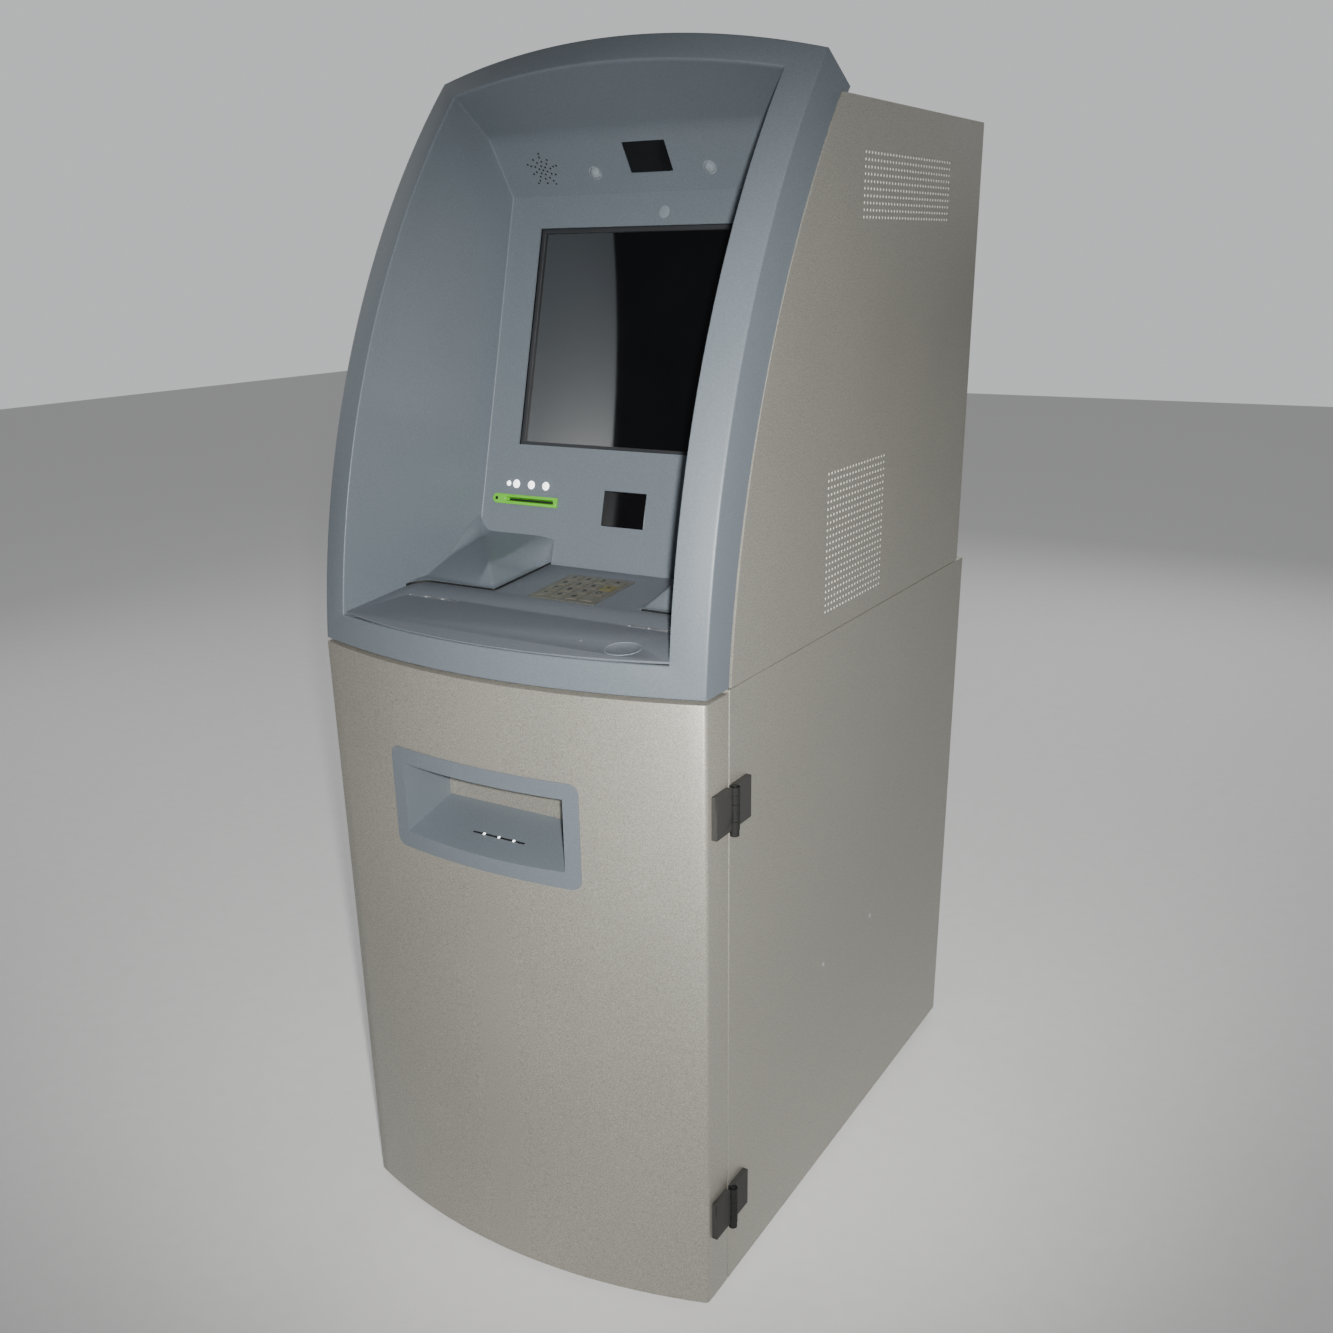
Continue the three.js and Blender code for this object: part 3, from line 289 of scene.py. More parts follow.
BRONZE = brushed("keypad_bronze", (0.31, 0.301, 0.27), 0.5, (30.0, 1.0, 1.0))
KEY_FACE = brushed("key_face", (0.363, 0.347, 0.297), 0.46, (1.0, 30.0, 1.0))
KEY_YELLOW = brushed("key_face_yellow", (0.42, 0.38, 0.19), 0.44, (1.0, 30.0, 1.0))
DARK_PLASTIC = plastic("dark_plastic", (0.03, 0.032, 0.036), 0.5)
HANDLE_PLASTIC = plastic("handle_plastic", (0.03, 0.032, 0.036), 0.5)
CASSETTE_PLASTIC = plastic("cassette_plastic", (0.055, 0.066, 0.08), 0.48)
RED_PLASTIC = plastic("reject_red", (0.35, 0.03, 0.025), 0.42)
GREEN = plastic("card_green", (0.14, 0.55, 0.03), 0.22)
PAPER = plastic("paper_white", (0.82, 0.81, 0.77), 0.85, 300.0, 0.1)
INK = plastic("digit_ink", (0.012, 0.011, 0.01), 0.5)
SLOT_BLACK = plastic("slot_black", (0.004, 0.004, 0.004), 0.7)
SCREEN = glossy_glass("screen_black", (0.0022, 0.0024, 0.0028), 0.03, 3.6)
WINDOW = glossy_glass("window_black", (0.0035, 0.0035, 0.004), 0.12)
LAMP = glowing("lamp_white", (0.95, 0.97, 1.0), 2.4)
# The vent backing's glow is painted light: it makes the vent holes look lit from inside, and it is
# no lamp.
VENT_PAINTED_GLOW = glowing("vent_painted_glow", (0.86, 0.85, 0.8), 0.55)
LENS = clear_lens("clear_lens")
RUBBER = plastic("foot_rubber", (0.02, 0.02, 0.021), 0.7)


# ---- Mesh helpers -----------------------------------------------------------------------------
CREASE = 32.0  # edges that turn by more degrees than this are shaded sharp


def new_object(name, data):
    made = bpy.data.objects.new(name, data)
    bpy.context.scene.collection.objects.link(made)
    return made


def evaluated_mesh(source):
    """The mesh that a curve, a text or an object with modifiers comes out as."""
    bpy.context.view_layer.update()
    evaluated = source.evaluated_get(bpy.context.evaluated_depsgraph_get())
    return bpy.data.meshes.new_from_object(evaluated)


def to_mesh(name, bm):
    mesh = bpy.data.meshes.new(name)
    bm.to_mesh(mesh)
    bm.free()
    return mesh


def finish_mesh(mesh, material, angle=CREASE):
    for polygon in mesh.polygons:
        polygon.use_smooth = True
    mesh.set_sharp_from_angle(angle=math.radians(angle))
    mesh.materials.clear()
    mesh.materials.append(material)


def add_object(name, mesh, body):
    """A piece on its body."""
    piece = new_object(name, mesh)
    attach(piece, body)
    return piece


def from_bmesh(name, bm, material, body="cabinet", angle=CREASE):
    bmesh.ops.recalc_face_normals(bm, faces=bm.faces)
    mesh = to_mesh(name, bm)
    finish_mesh(mesh, material, angle)
    return add_object(name, mesh, body)


def join_loops(bm, here, there, closed=True):
    """Quads between two loops of as many vertices each."""
    count = len(here)
    for k in range(count if closed else count - 1):
        n = (k + 1) % count
        bm.faces.new((here[k], here[n], there[n], there[k]))


def loft(loops, closed_rows=False, closed_columns=True, capped=False):
    """A skin through loops of points, with every loop of the same number of points."""
    bm = bmesh.new()
    rows = [[bm.verts.new(place(*point)) for point in loop] for loop in loops]
    following = rows[1:] + rows[:1] if closed_rows else rows[1:]
    for here, there in zip(rows, following):
        join_loops(bm, here, there, closed_columns)
    if capped:
        bm.faces.new(rows[0])
        bm.faces.new(rows[-1][::-1])
    return bm


def bevel_edges(bm, chosen, width, segments=3):
    edges = [e for e in bm.edges if chosen(e)]
    if edges:
        bmesh.ops.bevel(
            bm,
            geom=edges,
            offset=width / 1000,
            offset_type="OFFSET",
            segments=segments,
            profile=0.5,
            affect="EDGES",
            clamp_overlap=True,
        )


def is_sharp(edge, degrees=25.0):
    return len(edge.link_faces) == 2 and edge.calc_face_angle(0.0) > math.radians(degrees)


def cad_bmesh(node, flat):
    """The CAD node's shape, with faces that turn by less than flat degrees joined."""
    bm = bmesh.new()
    bm.from_mesh(frame["nodes"][node].data)
    bmesh.ops.remove_doubles(bm, verts=bm.verts, dist=1e-5)
    bmesh.ops.dissolve_limit(
        bm, angle_limit=math.radians(flat), verts=bm.verts, edges=bm.edges
    )
    return bm


def cad_skin(name, bm, node, material, angle=CREASE):
    """The reworked shape of a CAD node as the piece that stands for it."""
    bmesh.ops.triangulate(bm, faces=[f for f in bm.faces if len(f.verts) > 4])
    mesh = to_mesh(name, bm)
    finish_mesh(mesh, material, angle)
    piece = add_object(name, mesh, frame["nodes"][node]["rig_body"])
    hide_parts(node)
    return piece


def refined(node, material, width=0.8, segments=2, angle=CREASE):
    """The CAD node's shape with its edges rounded over."""
    bm = cad_bmesh(node, 1.2)
    bevel_edges(bm, lambda e: is_sharp(e, 35.0), width, segments)
    piece = cad_skin(node + "_detail", bm, node, material, angle)
    level = piece.modifiers.new("flat_faces", "WEIGHTED_NORMAL")
    level.keep_sharp = True


def block(x0, x1, y0, y1, z0, z1):
    bm = bmesh.new()
    bmesh.ops.create_cube(bm, size=1.0)
    for vertex in bm.verts:
        vertex.co = Vector(
            (
                lerp(x0, x1, vertex.co.x + 0.5) / 1000,
                lerp(y0, y1, vertex.co.y + 0.5) / 1000,
                lerp(z0, z1, vertex.co.z + 0.5) / 1000,
            )
        )
    return bm


def rounded_box(name, xs, ys, zs, radius, material, body="cabinet", tilt=STAND):
    bm = block(*xs, *ys, *zs)
    bevel_edges(bm, lambda e: True, radius)
    bm.transform(tilt)
    return from_bmesh(name, bm, material, body)


def arc_points(cx, cy, radius, start, sweep, steps):
    """Points round part of a circle, in degrees, with both ends."""
    angles = [math.radians(start + sweep * k / steps) for k in range(steps + 1)]
    return [(cx + radius * math.cos(a), cy + radius * math.sin(a)) for a in angles]


def circle(cx, cy, radius, steps):
    return arc_points(cx, cy, radius, 0, 360, steps)[:-1]


def rectangle(a0, a1, b0, b1):
    return [(a0, b0), (a1, b0), (a1, b1), (a0, b1)]


def rounded_rectangle(a0, a1, b0, b1, radius, steps=6):
    points = []
    for cx, cy, start in (
        (a1 - radius, b0 + radius, -90),
        (a1 - radius, b1 - radius, 0),
        (a0 + radius, b1 - radius, 90),
        (a0 + radius, b0 + radius, 180),
    ):
        points += arc_points(cx, cy, radius, start, 90, steps)
    return points


TURNS = {
    "x": Matrix.Rotation(math.pi / 2, 4, "Y"),
    "y": Matrix.Rotation(-math.pi / 2, 4, "X"),
    "z": Matrix.Identity(4),
}


def turned(name, profile, centre, axis, material, body="cabinet", tilt=STAND, sides=32):
    """A lathe-turned piece: profile is (radius, height) pairs along axis 'x', 'y' or 'z'."""
    bm = bmesh.new()
    rings = []
    for radius, height in profile:
        points = circle(0, 0, radius, sides) if radius else [(0, 0)]
        rings.append([bm.verts.new((x / 1000, y / 1000, height / 1000)) for x, y in points])
    for low, high in zip(rings, rings[1:]):
        for k in range(sides):
            n = (k + 1) % sides
            quad = (low[k % len(low)], low[n % len(low)], high[n % len(high)], high[k % len(high)])
            corners = tuple(dict.fromkeys(quad))  # a ring on the axis is one point
            if len(corners) > 2:
                bm.faces.new(corners)
    bm.transform(TURNS[axis])
    bm.transform(Matrix.Translation(Vector(centre) / 1000))
    bm.transform(tilt)
    return from_bmesh(name, bm, material, body)


PLANES = {
    "xy": Matrix.Identity(4),
    "xz": Matrix.Rotation(math.pi / 2, 4, "X"),
    "yz": Matrix(((0, 0, 1, 0), (1, 0, 0, 0), (0, 1, 0, 0), (0, 0, 0, 1))),
}


def plate(name, outlines, low, high, edge, material, tilt=STAND, plane="xy"):
    """A flat plate with holes: 2-D outlines, the first one outside, pushed from low to high."""
    curve = bpy.data.curves.new(name, "CURVE")
    curve.dimensions = "2D"
    curve.fill_mode = "BOTH"
    curve.extrude = (high - low) / 2000 - edge / 1000
    curve.bevel_depth = edge / 1000
    curve.bevel_resolution = 2
    curve.offset = -edge / 1000
    for outline in outlines:
        spline = curve.splines.new("POLY")
        spline.points.add(len(outline) - 1)
        for point, (a, b) in zip(spline.points, outline):
            point.co = (a / 1000, b / 1000, 0, 1)
        spline.use_cyclic_u = True
    holder = new_object(name + "_curve", curve)
    mesh = evaluated_mesh(holder)
    bpy.data.objects.remove(holder)
    bpy.data.curves.remove(curve)
    mesh.transform(Matrix.Translation((0, 0, (low + high) / 2000)))
    mesh.transform(PLANES[plane])
    mesh.transform(tilt)
    bm = bmesh.new()
    bm.from_mesh(mesh)
    bpy.data.meshes.remove(mesh)
    bmesh.ops.remove_doubles(bm, verts=bm.verts, dist=1e-6)
    return from_bmesh(name, bm, material)


def tilted(y, z, angle):
    """A leaning panel's own axes: x, y (through it) and z (up it), as the frame has them."""
    return Matrix.Translation(place(0, y, z)) @ Matrix.Rotation(angle, 4, "X")


WALL = tilted(WALL_Y, WALL_Z, -WALL_LEAN)
WALL_TOP = (
    WALL_Y + WALL_LENGTH * math.sin(WALL_LEAN),
    WALL_Z + WALL_LENGTH * math.cos(WALL_LEAN),
)
PANEL = tilted(WALL_TOP[0], WALL_TOP[1], PANEL_LEAN)
PANEL_TOP = (
    WALL_TOP[0] - PANEL_LENGTH * math.sin(PANEL_LEAN),
    WALL_TOP[1] + PANEL_LENGTH * math.cos(PANEL_LEAN),
)
DESK = tilted(SHELF_Y, SHELF_Z, SHELF_SLOPE)


def apply_modifiers(piece):
    mesh = evaluated_mesh(piece)
    piece.modifiers.clear()
    piece.data = mesh


def cut(piece, tilt, *box):
    """Cuts a box, given in a panel's own axes, out of the piece for good."""
    bm = block(*box)
    bm.transform(tilt)
    bmesh.ops.recalc_face_normals(bm, faces=bm.faces)
    tool = new_object("cutter", to_mesh("cutter", bm))
    modifier = piece.modifiers.new("cut", "BOOLEAN")
    modifier.operation = "DIFFERENCE"
    modifier.solver = "EXACT"
    modifier.object = tool
    material = piece.data.materials[0]
    apply_modifiers(piece)
    piece.data.materials.clear()
    piece.data.materials.append(material)
    piece.data.set_sharp_from_angle(angle=math.radians(CREASE))
    bpy.data.objects.remove(tool)


# ---- Camera, floor and lights -----------------------------------------------------------------
CAMERA = Vector((1014.7, -1283.6, 1382.4))


def build_camera():
    yaw = math.radians(31.226)
    pitch = math.radians(20.511)
    roll = math.radians(-0.936)
    forward = Vector(
        (-math.sin(yaw) * math.cos(pitch), math.cos(yaw) * math.cos(pitch), -math.sin(pitch))
    )
    level_right = Vector((math.cos(yaw), math.sin(yaw), 0))
    level_up = level_right.cross(forward)
    right = math.cos(roll) * level_right + math.sin(roll) * level_up
    up = -math.sin(roll) * level_right + math.cos(roll) * level_up
    data = bpy.data.cameras.new("camera")
    data.sensor_width = 36.0
    data.lens = 35.96
    data.shift_x = 0.0044
    data.shift_y = 0.0646
    data.clip_end = 100.0
    camera = new_object("camera", data)
    rotation = Matrix((right, up, -forward)).transposed().to_4x4()
    camera.matrix_world = Matrix.Translation(place(*CAMERA)) @ rotation
    bpy.context.scene.camera = camera


def add_light(name, kind, position, target, power):
    data = bpy.data.lights.new(name, kind)
    data.energy = power
    light = new_object(name, data)
    direction = Vector(target) - Vector(position)
    light.rotation_euler = direction.to_track_quat("-Z", "Y").to_euler()
    light.location = position
    return data


def area_light(name, position, target, size, power):
    data = add_light(name, "AREA", position, target, power)
    data.shape = "SQUARE"
    data.size = size


def key_light():
    """A small bright lamp just right of the camera, so that shadows are narrow and fall to the
    left. Its beam falls off smoothly away from its middle."""
    position = place(*(CAMERA + Vector((40, 15, 20))))
    data = add_light("key", "SPOT", position, place(240, 0, 880), 250.0)
    data.color = (1.0, 0.99, 0.965)
    data.spot_size = math.radians(70)
    data.spot_blend = 1.0
    data.shadow_soft_size = 0.022


def build_sky(tree):
    """A plain pale studio. The camera sees an even grey, and the object is lit and mirrored by a
    darker one, which is darkest in front and to the left."""
    sky = Shading(tree)
    where = sky.nodes.new("ShaderNodeTexCoord").outputs["Generated"]
    facing = sky.nodes.new("ShaderNodeVectorMath")
    facing.operation = "DOT_PRODUCT"
    facing.inputs[1].default_value = Vector((-0.62, -0.74, 0.26)).normalized()
    sky.link(where, facing.inputs[0])
    light, dark = (0.25, (0.11, 0.112, 0.117)), (0.8, (0.013, 0.013, 0.014))
    shade = sky.ramp(facing.outputs["Value"], light, dark)
    seen = sky.nodes.new("ShaderNodeLightPath").outputs["Is Camera Ray"]
    background = sky.nodes["Background"].inputs
    background["Strength"].default_value = 1.0
    sky.link(sky.mixed(seen, shade, (0.62, 0.63, 0.64)), background["Color"])


def build_stage():
    bm = bmesh.new()
    bmesh.ops.create_grid(bm, x_segments=1, y_segments=1, size=12.0)
    mesh = to_mesh("floor", bm)
    pale = Surface("pale_floor")
    grain = pale.noise(30.0, 3.0)
    pale.colour(grain, (0.3, (0.76, 0.76, 0.755)), (0.7, (0.8, 0.8, 0.795)))
    pale.set("Roughness", 0.8)
    pale.set("Emission Color", (1.0, 1.0, 1.0, 1.0))
    pale.set("Emission Strength", 0.2)
    mesh.materials.append(pale.material)
    new_object("floor", mesh)
    world = bpy.data.worlds.new("studio")
    world.use_nodes = True
    build_sky(world.node_tree)
    bpy.context.scene.world = world
    key_light()
    area_light("overhead", (0.3, -0.6, 4.4), (0.0, 0.0, 0.6), 3.0, 7.0)
    area_light("rear_soft", (0.1, 3.8, 2.6), (0.0, 0.2, 0.8), 2.4, 34.0)
    area_light("left_soft", (-3.4, 0.4, 2.4), (0.0, 0.1, 0.8), 2.4, 16.0)


build_camera()
build_stage()


# ---- Fascia frame -----------------------------------------------------------------------------
FASCIA_LOW = 895.0
FASCIA_HALF = 298.8
FASCIA_SIDE_TOP = 1607.0  # where the straight sides end and the arched top begins
FASCIA_TOP = 1641.0
OPENING_LOW = 934.0
OPENING_SIDE_TOP = 1587.0
OPENING_TOP = 1609.0
LIP_RADIUS = 2.0
SKIN_DEPTH = 2.6  # how far behind the front the niche's skin meets the lip


def fascia_half(z):
    """Half the width of the fascia's front, which narrows a little upwards."""
    return FASCIA_HALF * (1 - 0.0335 * (max(0.0, z - FASCIA_LOW) / 705.0) ** 1.3)


def opening_half(z):
    return lerp(254.5, 246.5, (z - OPENING_LOW) / 650.0)


def outline_ring(low, side_top, middle_top, half_at):
    """A closed outline in x and z: straight foot, tapering sides and an arched top.
    Points run with even counts along the foot, right side, top and left side."""
    foot, side, top = 44, 70, 44
    points = []
    half_low = half_at(low)
    half_top = half_at(side_top)
    arch = middle_top - side_top
    for k in range(foot):
        points.append((lerp(-half_low, half_low, k / foot), low))
    for k in range(side):
        z = lerp(low, side_top, k / side)
        points.append((half_at(z), z))
    for k in range(top):
        x = lerp(half_top, -half_top, k / top)
        points.append((x, side_top + arch * (1 - (x / half_top) ** 2)))
    for k in range(side):
        z = lerp(side_top, low, k / side)
        points.append((-half_at(z), z))
    return points


def front_point(x, z, depth):
    """A point at the given depth behind the bowed and leaning front, square to its lean."""
    angle = math.asin((z - ARC_Z) / ARC_RADIUS) * smooth_step((z - FASCIA_LOW) / 260.0)
    return (
        x,
        arc(z) - bow(x) + depth * math.cos(angle),
        z - depth * math.sin(angle),
    )


def build_fascia():
    outer = outline_ring(FASCIA_LOW, FASCIA_SIDE_TOP, FASCIA_TOP, fascia_half)
    inner = outline_ring(OPENING_LOW, OPENING_SIDE_TOP, OPENING_TOP, opening_half)
    pairs = list(zip(inner, outer))
    back_depth = 55.5
    band = 22.0  # the part of the front that the three loops of its flat are spread over

    def at(i, inset, depth, from_inner=False):
        (ix, iz), (ox, oz) = pairs[i]
        span = math.hypot(ox - ix, oz - iz)
        t = inset / span if from_inner else 1 - inset / span
        return front_point(lerp(ix, ox, t), lerp(iz, oz, t), depth)

    def at_back(i, inset):
        x, z = pairs[i][1]
        # The sides flare out to the cabinet's full width; top and foot run straight back.
        x *= FASCIA_HALF / fascia_half(min(z, FASCIA_SIDE_TOP))
        x -= math.copysign(inset, x) if abs(x) > FASCIA_HALF - 1 else 0.0
        z -= inset if z > FASCIA_SIDE_TOP else 0.0
        return front_point(x, z, back_depth + bow(x))

    count = len(pairs)
    loops = []
    loops.append([at_back(i, 4.0) for i in range(count)])
    loops.append([at_back(i, 0.0) for i in range(count)])
    radius = 1.6
    for k in range(5):
        a = math.radians(90 * k / 4)
        loops.append(
            [at(i, radius * (1 - math.cos(a)), radius * (1 - math.sin(a))) for i in range(count)]
        )
    for share in (0.15, 0.5, 0.85):
        loops.append([at(i, radius + share * band, 0.0) for i in range(count)])
    lip = LIP_RADIUS
    for k in range(6):
        a = math.radians(90 * k / 5)
        loops.append(
            [
                at(i, lip * (1 - math.sin(a)), lip * (1 - math.cos(a)), True)
                for i in range(count)
            ]
        )
    loops.append([at(i, 0.0, 4.5, True) for i in range(count)])
    loops.append([at(i, 4.0, 4.5, True) for i in range(count)])
    loops.append([at(i, 9.0, 4.5) for i in range(count)])
    loops.append([at(i, 4.0, 12.0) for i in range(count)])
    bm = loft(loops, closed_rows=True)
    piece = from_bmesh("fascia_moulding", bm, BLUE_GREY, angle=40)
    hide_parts("fascia_frame")


build_fascia()


# ---- Niche shell and pods ---------------------------------------------------------------------
def build_niche_shell():
    """Side walls, back wall, sensor panel and ceiling in one skin. Its front edge runs round the
    fascia's opening, so that the lip's bright edge turns straight into it."""
    corner = 2.0
    low, mid, high, top = 925.0, 1440.0, 1540.0, OPENING_SIDE_TOP
    wall_rows, panel_rows, ceiling_rows = 30, 6, 8
    rows = []  # (y, z at the back; z at the front; share of the way to the arched lip)
    for k in range(wall_rows + 1):
        t = k / wall_rows
        y, z = lerp(WALL_Y - 8, WALL_TOP[0], t), lerp(WALL_Z - 30, WALL_TOP[1], t)
        rows.append((y, z, lerp(low, mid, t), 0.0))
    for k in range(1, panel_rows + 1):
        t = k / panel_rows
        y, z = lerp(WALL_TOP[0], PANEL_TOP[0], t), lerp(WALL_TOP[1], PANEL_TOP[1], t)
        rows.append((y, z, lerp(mid, high, t), 0.0))
    for k in range(1, ceiling_rows + 1):
        t = k / ceiling_rows
        rows.append((*PANEL_TOP, lerp(high, top, t), t))

    def lip_point(x, z):
        return Vector(front_point(x, z, SKIN_DEPTH))

    top_corner = lip_point(-opening_half(top), top)
    loops = []
    for yb, zb, zf, share in rows:
        front = lip_point(-opening_half(zf), zf)
        back = Vector((-NICHE_HALF, yb, zb))
        if share:
            back = back.lerp(top_corner + Vector((0.0, 0.01, 0.0)), share)
        run = back - front
        length = run.length
        reach = min(corner, length * 0.5)
        left = [front + run * (t * (length - reach) / length) for t in (0.0, 0.2, 0.4, 0.6, 0.8)]
        for k in range(9):
            a = math.radians(90 * k / 8)
            point = front + run * ((length - reach * (1 - math.sin(a))) / length)
            point.x += reach * (1 - math.cos(a))
            left.append(point)
        half = -left[-1].x
        middle = []
        for k in range(1, 28):
            x = lerp(-half, half, k / 28)
            flat = Vector((x, yb, zb))
            if share:
                arch = top + (OPENING_TOP - top) * (1 - (x / opening_half(top)) ** 2)
                flat = flat.lerp(lip_point(x, arch), share)
            middle.append(flat)
        right = [Vector((-p.x, p.y, p.z)) for p in reversed(left)]
        loops.append([tuple(p) for p in left + middle + right])
    bm = loft(loops, closed_columns=False)
    shell = from_bmesh("niche_shell", bm, BLUE_GREY, angle=14)
    solid = shell.modifiers.new("thickness", "SOLIDIFY")
    solid.thickness = 0.003
    solid.offset = 1.0
    apply_modifiers(shell)
    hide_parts("niche_liner", "screen_panel", "sensor_panel")
    cut(shell, WALL, -200, 200, -30, 40, 168.5, 476.5)  # the screen
    cut(shell, WALL, -229, -121, -30, 30, 82.5, 92.5)  # the card entry
    cut(shell, WALL, -40.5, 30.5, -30, 30, 61.5, 111.5)  # the scanner's window
    cut(shell, PANEL, -40, 27, -30, 30, 29, 74)  # the camera's window


build_niche_shell()


def wall_y(z):
    return WALL_Y + (z - WALL_Z) * math.tan(WALL_LEAN)


def desk_z(y):
    return SHELF_Z + (y - SHELF_Y) * math.tan(SHELF_SLOPE)


def soft_min(a, b, k):
    h = max(0.0, min(1.0, 0.5 + 0.5 * (b - a) / k))
    return lerp(b, a, h) - k * h * (1 - h)


POD_INNER = 118.0
POD_FRONT = 147.0
POD_FOOT = 949.0
POD_CORNER = 28.0
BOWL_TOP = 998.0
RIDGE = ((150.0, 179.0, 981.0), (255.0, 293.0, 996.0))


def side_wall(y):
    """The side wall's distance from the middle at the height of the pods."""
    level = 965.0
    half = opening_half(level)
    front = front_point(half, level, SKIN_DEPTH)[1]
    return lerp(half, NICHE_HALF, (y - front) / (wall_y(level) - front))


POD_SIDE = side_wall(POD_FRONT)


def pod_height(x, y):
    """The lowest of three faces: the front that rises from the shelf's shoulder to the ridge, the
    small facet beside the keypad and the bowl behind the ridge. The bowl curves up the back wall,
    and a fillet joins the whole to the side wall."""
    (x0, y0, z0), (x1, y1, z1) = RIDGE
    t = max(0.0, (x - x0) / (x1 - x0))
    slope = (lerp(z0, z1, t) - POD_FOOT) / (lerp(y0, y1, t) - POD_FRONT)
    front = POD_FOOT + (y - POD_FRONT) * slope
    facet = POD_FOOT + (x - 119.0) * 0.96 + (y - POD_FRONT) * 0.07

    def bowl(depth):
        return 963.0 + 0.3715 * x - 0.2106 * depth

    top = soft_min(soft_min(front, facet, 2.5), bowl(y), 5.0)
    wall = wall_y(BOWL_TOP)
    start = lerp(246.0, y0, (x - POD_INNER) / (x0 - POD_INNER))
    if x > x0:
        start = lerp(y0, y1, t)
    into = max(0.0, (y - start) / max(6.0, wall - start))
    top += max(0.0, BOWL_TOP - bowl(wall)) * into**1.55
    fillet = lerp(5.0, 25.0, smooth_step((y - 215.0) / 70.0))
    out = max(0.0, min(fillet, x - (side_wall(y) - fillet)))
    return top + fillet - math.sqrt(max(0.0, fillet**2 - out**2))


def pod_start(x):
    """Where the pod begins behind the shelf, whose shoulder is rounded at the side wall."""
    out = max(0.0, min(POD_CORNER, x - (POD_SIDE - POD_CORNER)))
    return POD_FRONT - 0.5 - (POD_CORNER - math.sqrt(POD_CORNER**2 - out**2))


def edge_loop(rows):
    """The vertices all the way round the edge of a grid of them."""
    right = [row[-1] for row in rows[1:-1]]
    left = [row[0] for row in rows[-2:0:-1]]
    return rows[0] + right + rows[-1][::-1] + left


def grid_faces(bm, rows):
    for here, there in zip(rows, rows[1:]):
        join_loops(bm, here, there, closed=False)


POD_LIFT = 3.4  # the pods' feet stand clear of the shelf by this much


def build_pod(side, where):
    columns = 72
    rows = 80
    y_end = wall_y(985.0) + 0.5
    bm = bmesh.new()
    grid = []
    floor = []
    for k in range(rows + 1):
        line = []
        under = []
        back = math.sin(k / rows * math.pi / 2)
        for c in range(columns + 1):
            across = math.sin(c / columns * math.pi / 2)
            start = pod_start(lerp(POD_INNER, POD_SIDE, across))
            y = lerp(start, y_end, back)
            x = lerp(POD_INNER, side_wall(y) + 0.3, across)
            z = max(pod_height(x, y), desk_z(y) + POD_LIFT)
            lean = max(0.0, z - 985.0) * math.tan(WALL_LEAN) * smooth_step((y - 250.0) / 45.0)
            line.append(bm.verts.new(place(side * x, y + lean, z)))
            under.append(bm.verts.new(place(side * x, y, desk_z(y) + POD_LIFT - 0.5)))
        grid.append(line)
        floor.append(under)
    grid_faces(bm, grid)
    grid_faces(bm, [line[::-1] for line in floor])
    join_loops(bm, edge_loop(floor), edge_loop(grid))
    from_bmesh(f"pod_{where}", bm, POD_PAINTED_SHADE_GREY, angle=60)


def build_pod_shadow_strip(side, where):
    """A black strip along the gap between the pod's foot and the shelf: painted shadow in that
    gap.
    """
    path = []  # x, y on the outer face; the way through the strip to its inner face
    for step in range(6):
        a = math.radians(18 * step)
        path.append(
            (
                POD_SIDE - POD_CORNER * (1 - math.cos(a)) - 1.5,
                POD_FRONT + 0.6 - POD_CORNER * (1 - math.sin(a)),
                math.cos(a) * 1.2,
                math.sin(a) * 1.2,
            )
        )
    path += [(122, 147.6, 0, 1.2), (119.2, 151, 1.2, 0.8), (119.2, 286, 1.2, 0)]
    loops = []
    for x, y, dx, dy in path:
        low, high = desk_z(y) - 0.6, desk_z(y) + POD_LIFT - 0.4
        outer, inner = (side * x, y), (side * (x + dx), y + dy)
        loops.append([(*outer, low), (*outer, high), (*inner, high), (*inner, low)])
    from_bmesh(f"pod_shadow_strip_{where}", loft(loops, capped=True), SLOT_BLACK)


for side, where in ((-1, "left"), (1, "right")):
    build_pod(side, where)
    build_pod_shadow_strip(side, where)


# ---- Screen, windows, card entry, lamps -------------------------------------------------------
def build_screen():
    opening = [rectangle(-200.5, 200.5, 168.0, 477.0), rectangle(-194.0, 194.0, 174.0, 471.0)]
    plate("screen_surround", opening, -9.5, -5.5, 0.6, DARK_PLASTIC, WALL, "xz")
    face = [rounded_rectangle(-205, 205, 164, 481, 3)]
    glass = plate("screen_face", face, -11.3, -8.3, 0.4, SCREEN, WALL, "xz")
    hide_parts("screen_glass")


def build_windows():
    for name, x0, x1, low, high, tilt, node in (
        ("scanner_pane", -40.2, 30.2, 61.8, 111.2, WALL, "scanner_window"),
        ("camera_pane", -39.7, 26.7, 29.3, 73.7, PANEL, "camera_window"),
    ):
        outline = rounded_rectangle(x0, x1, low, high, 1.5)
        pane = plate(name, [outline], -3.0, -0.6, 0.3, WINDOW, tilt, "xz")
        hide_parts(node)


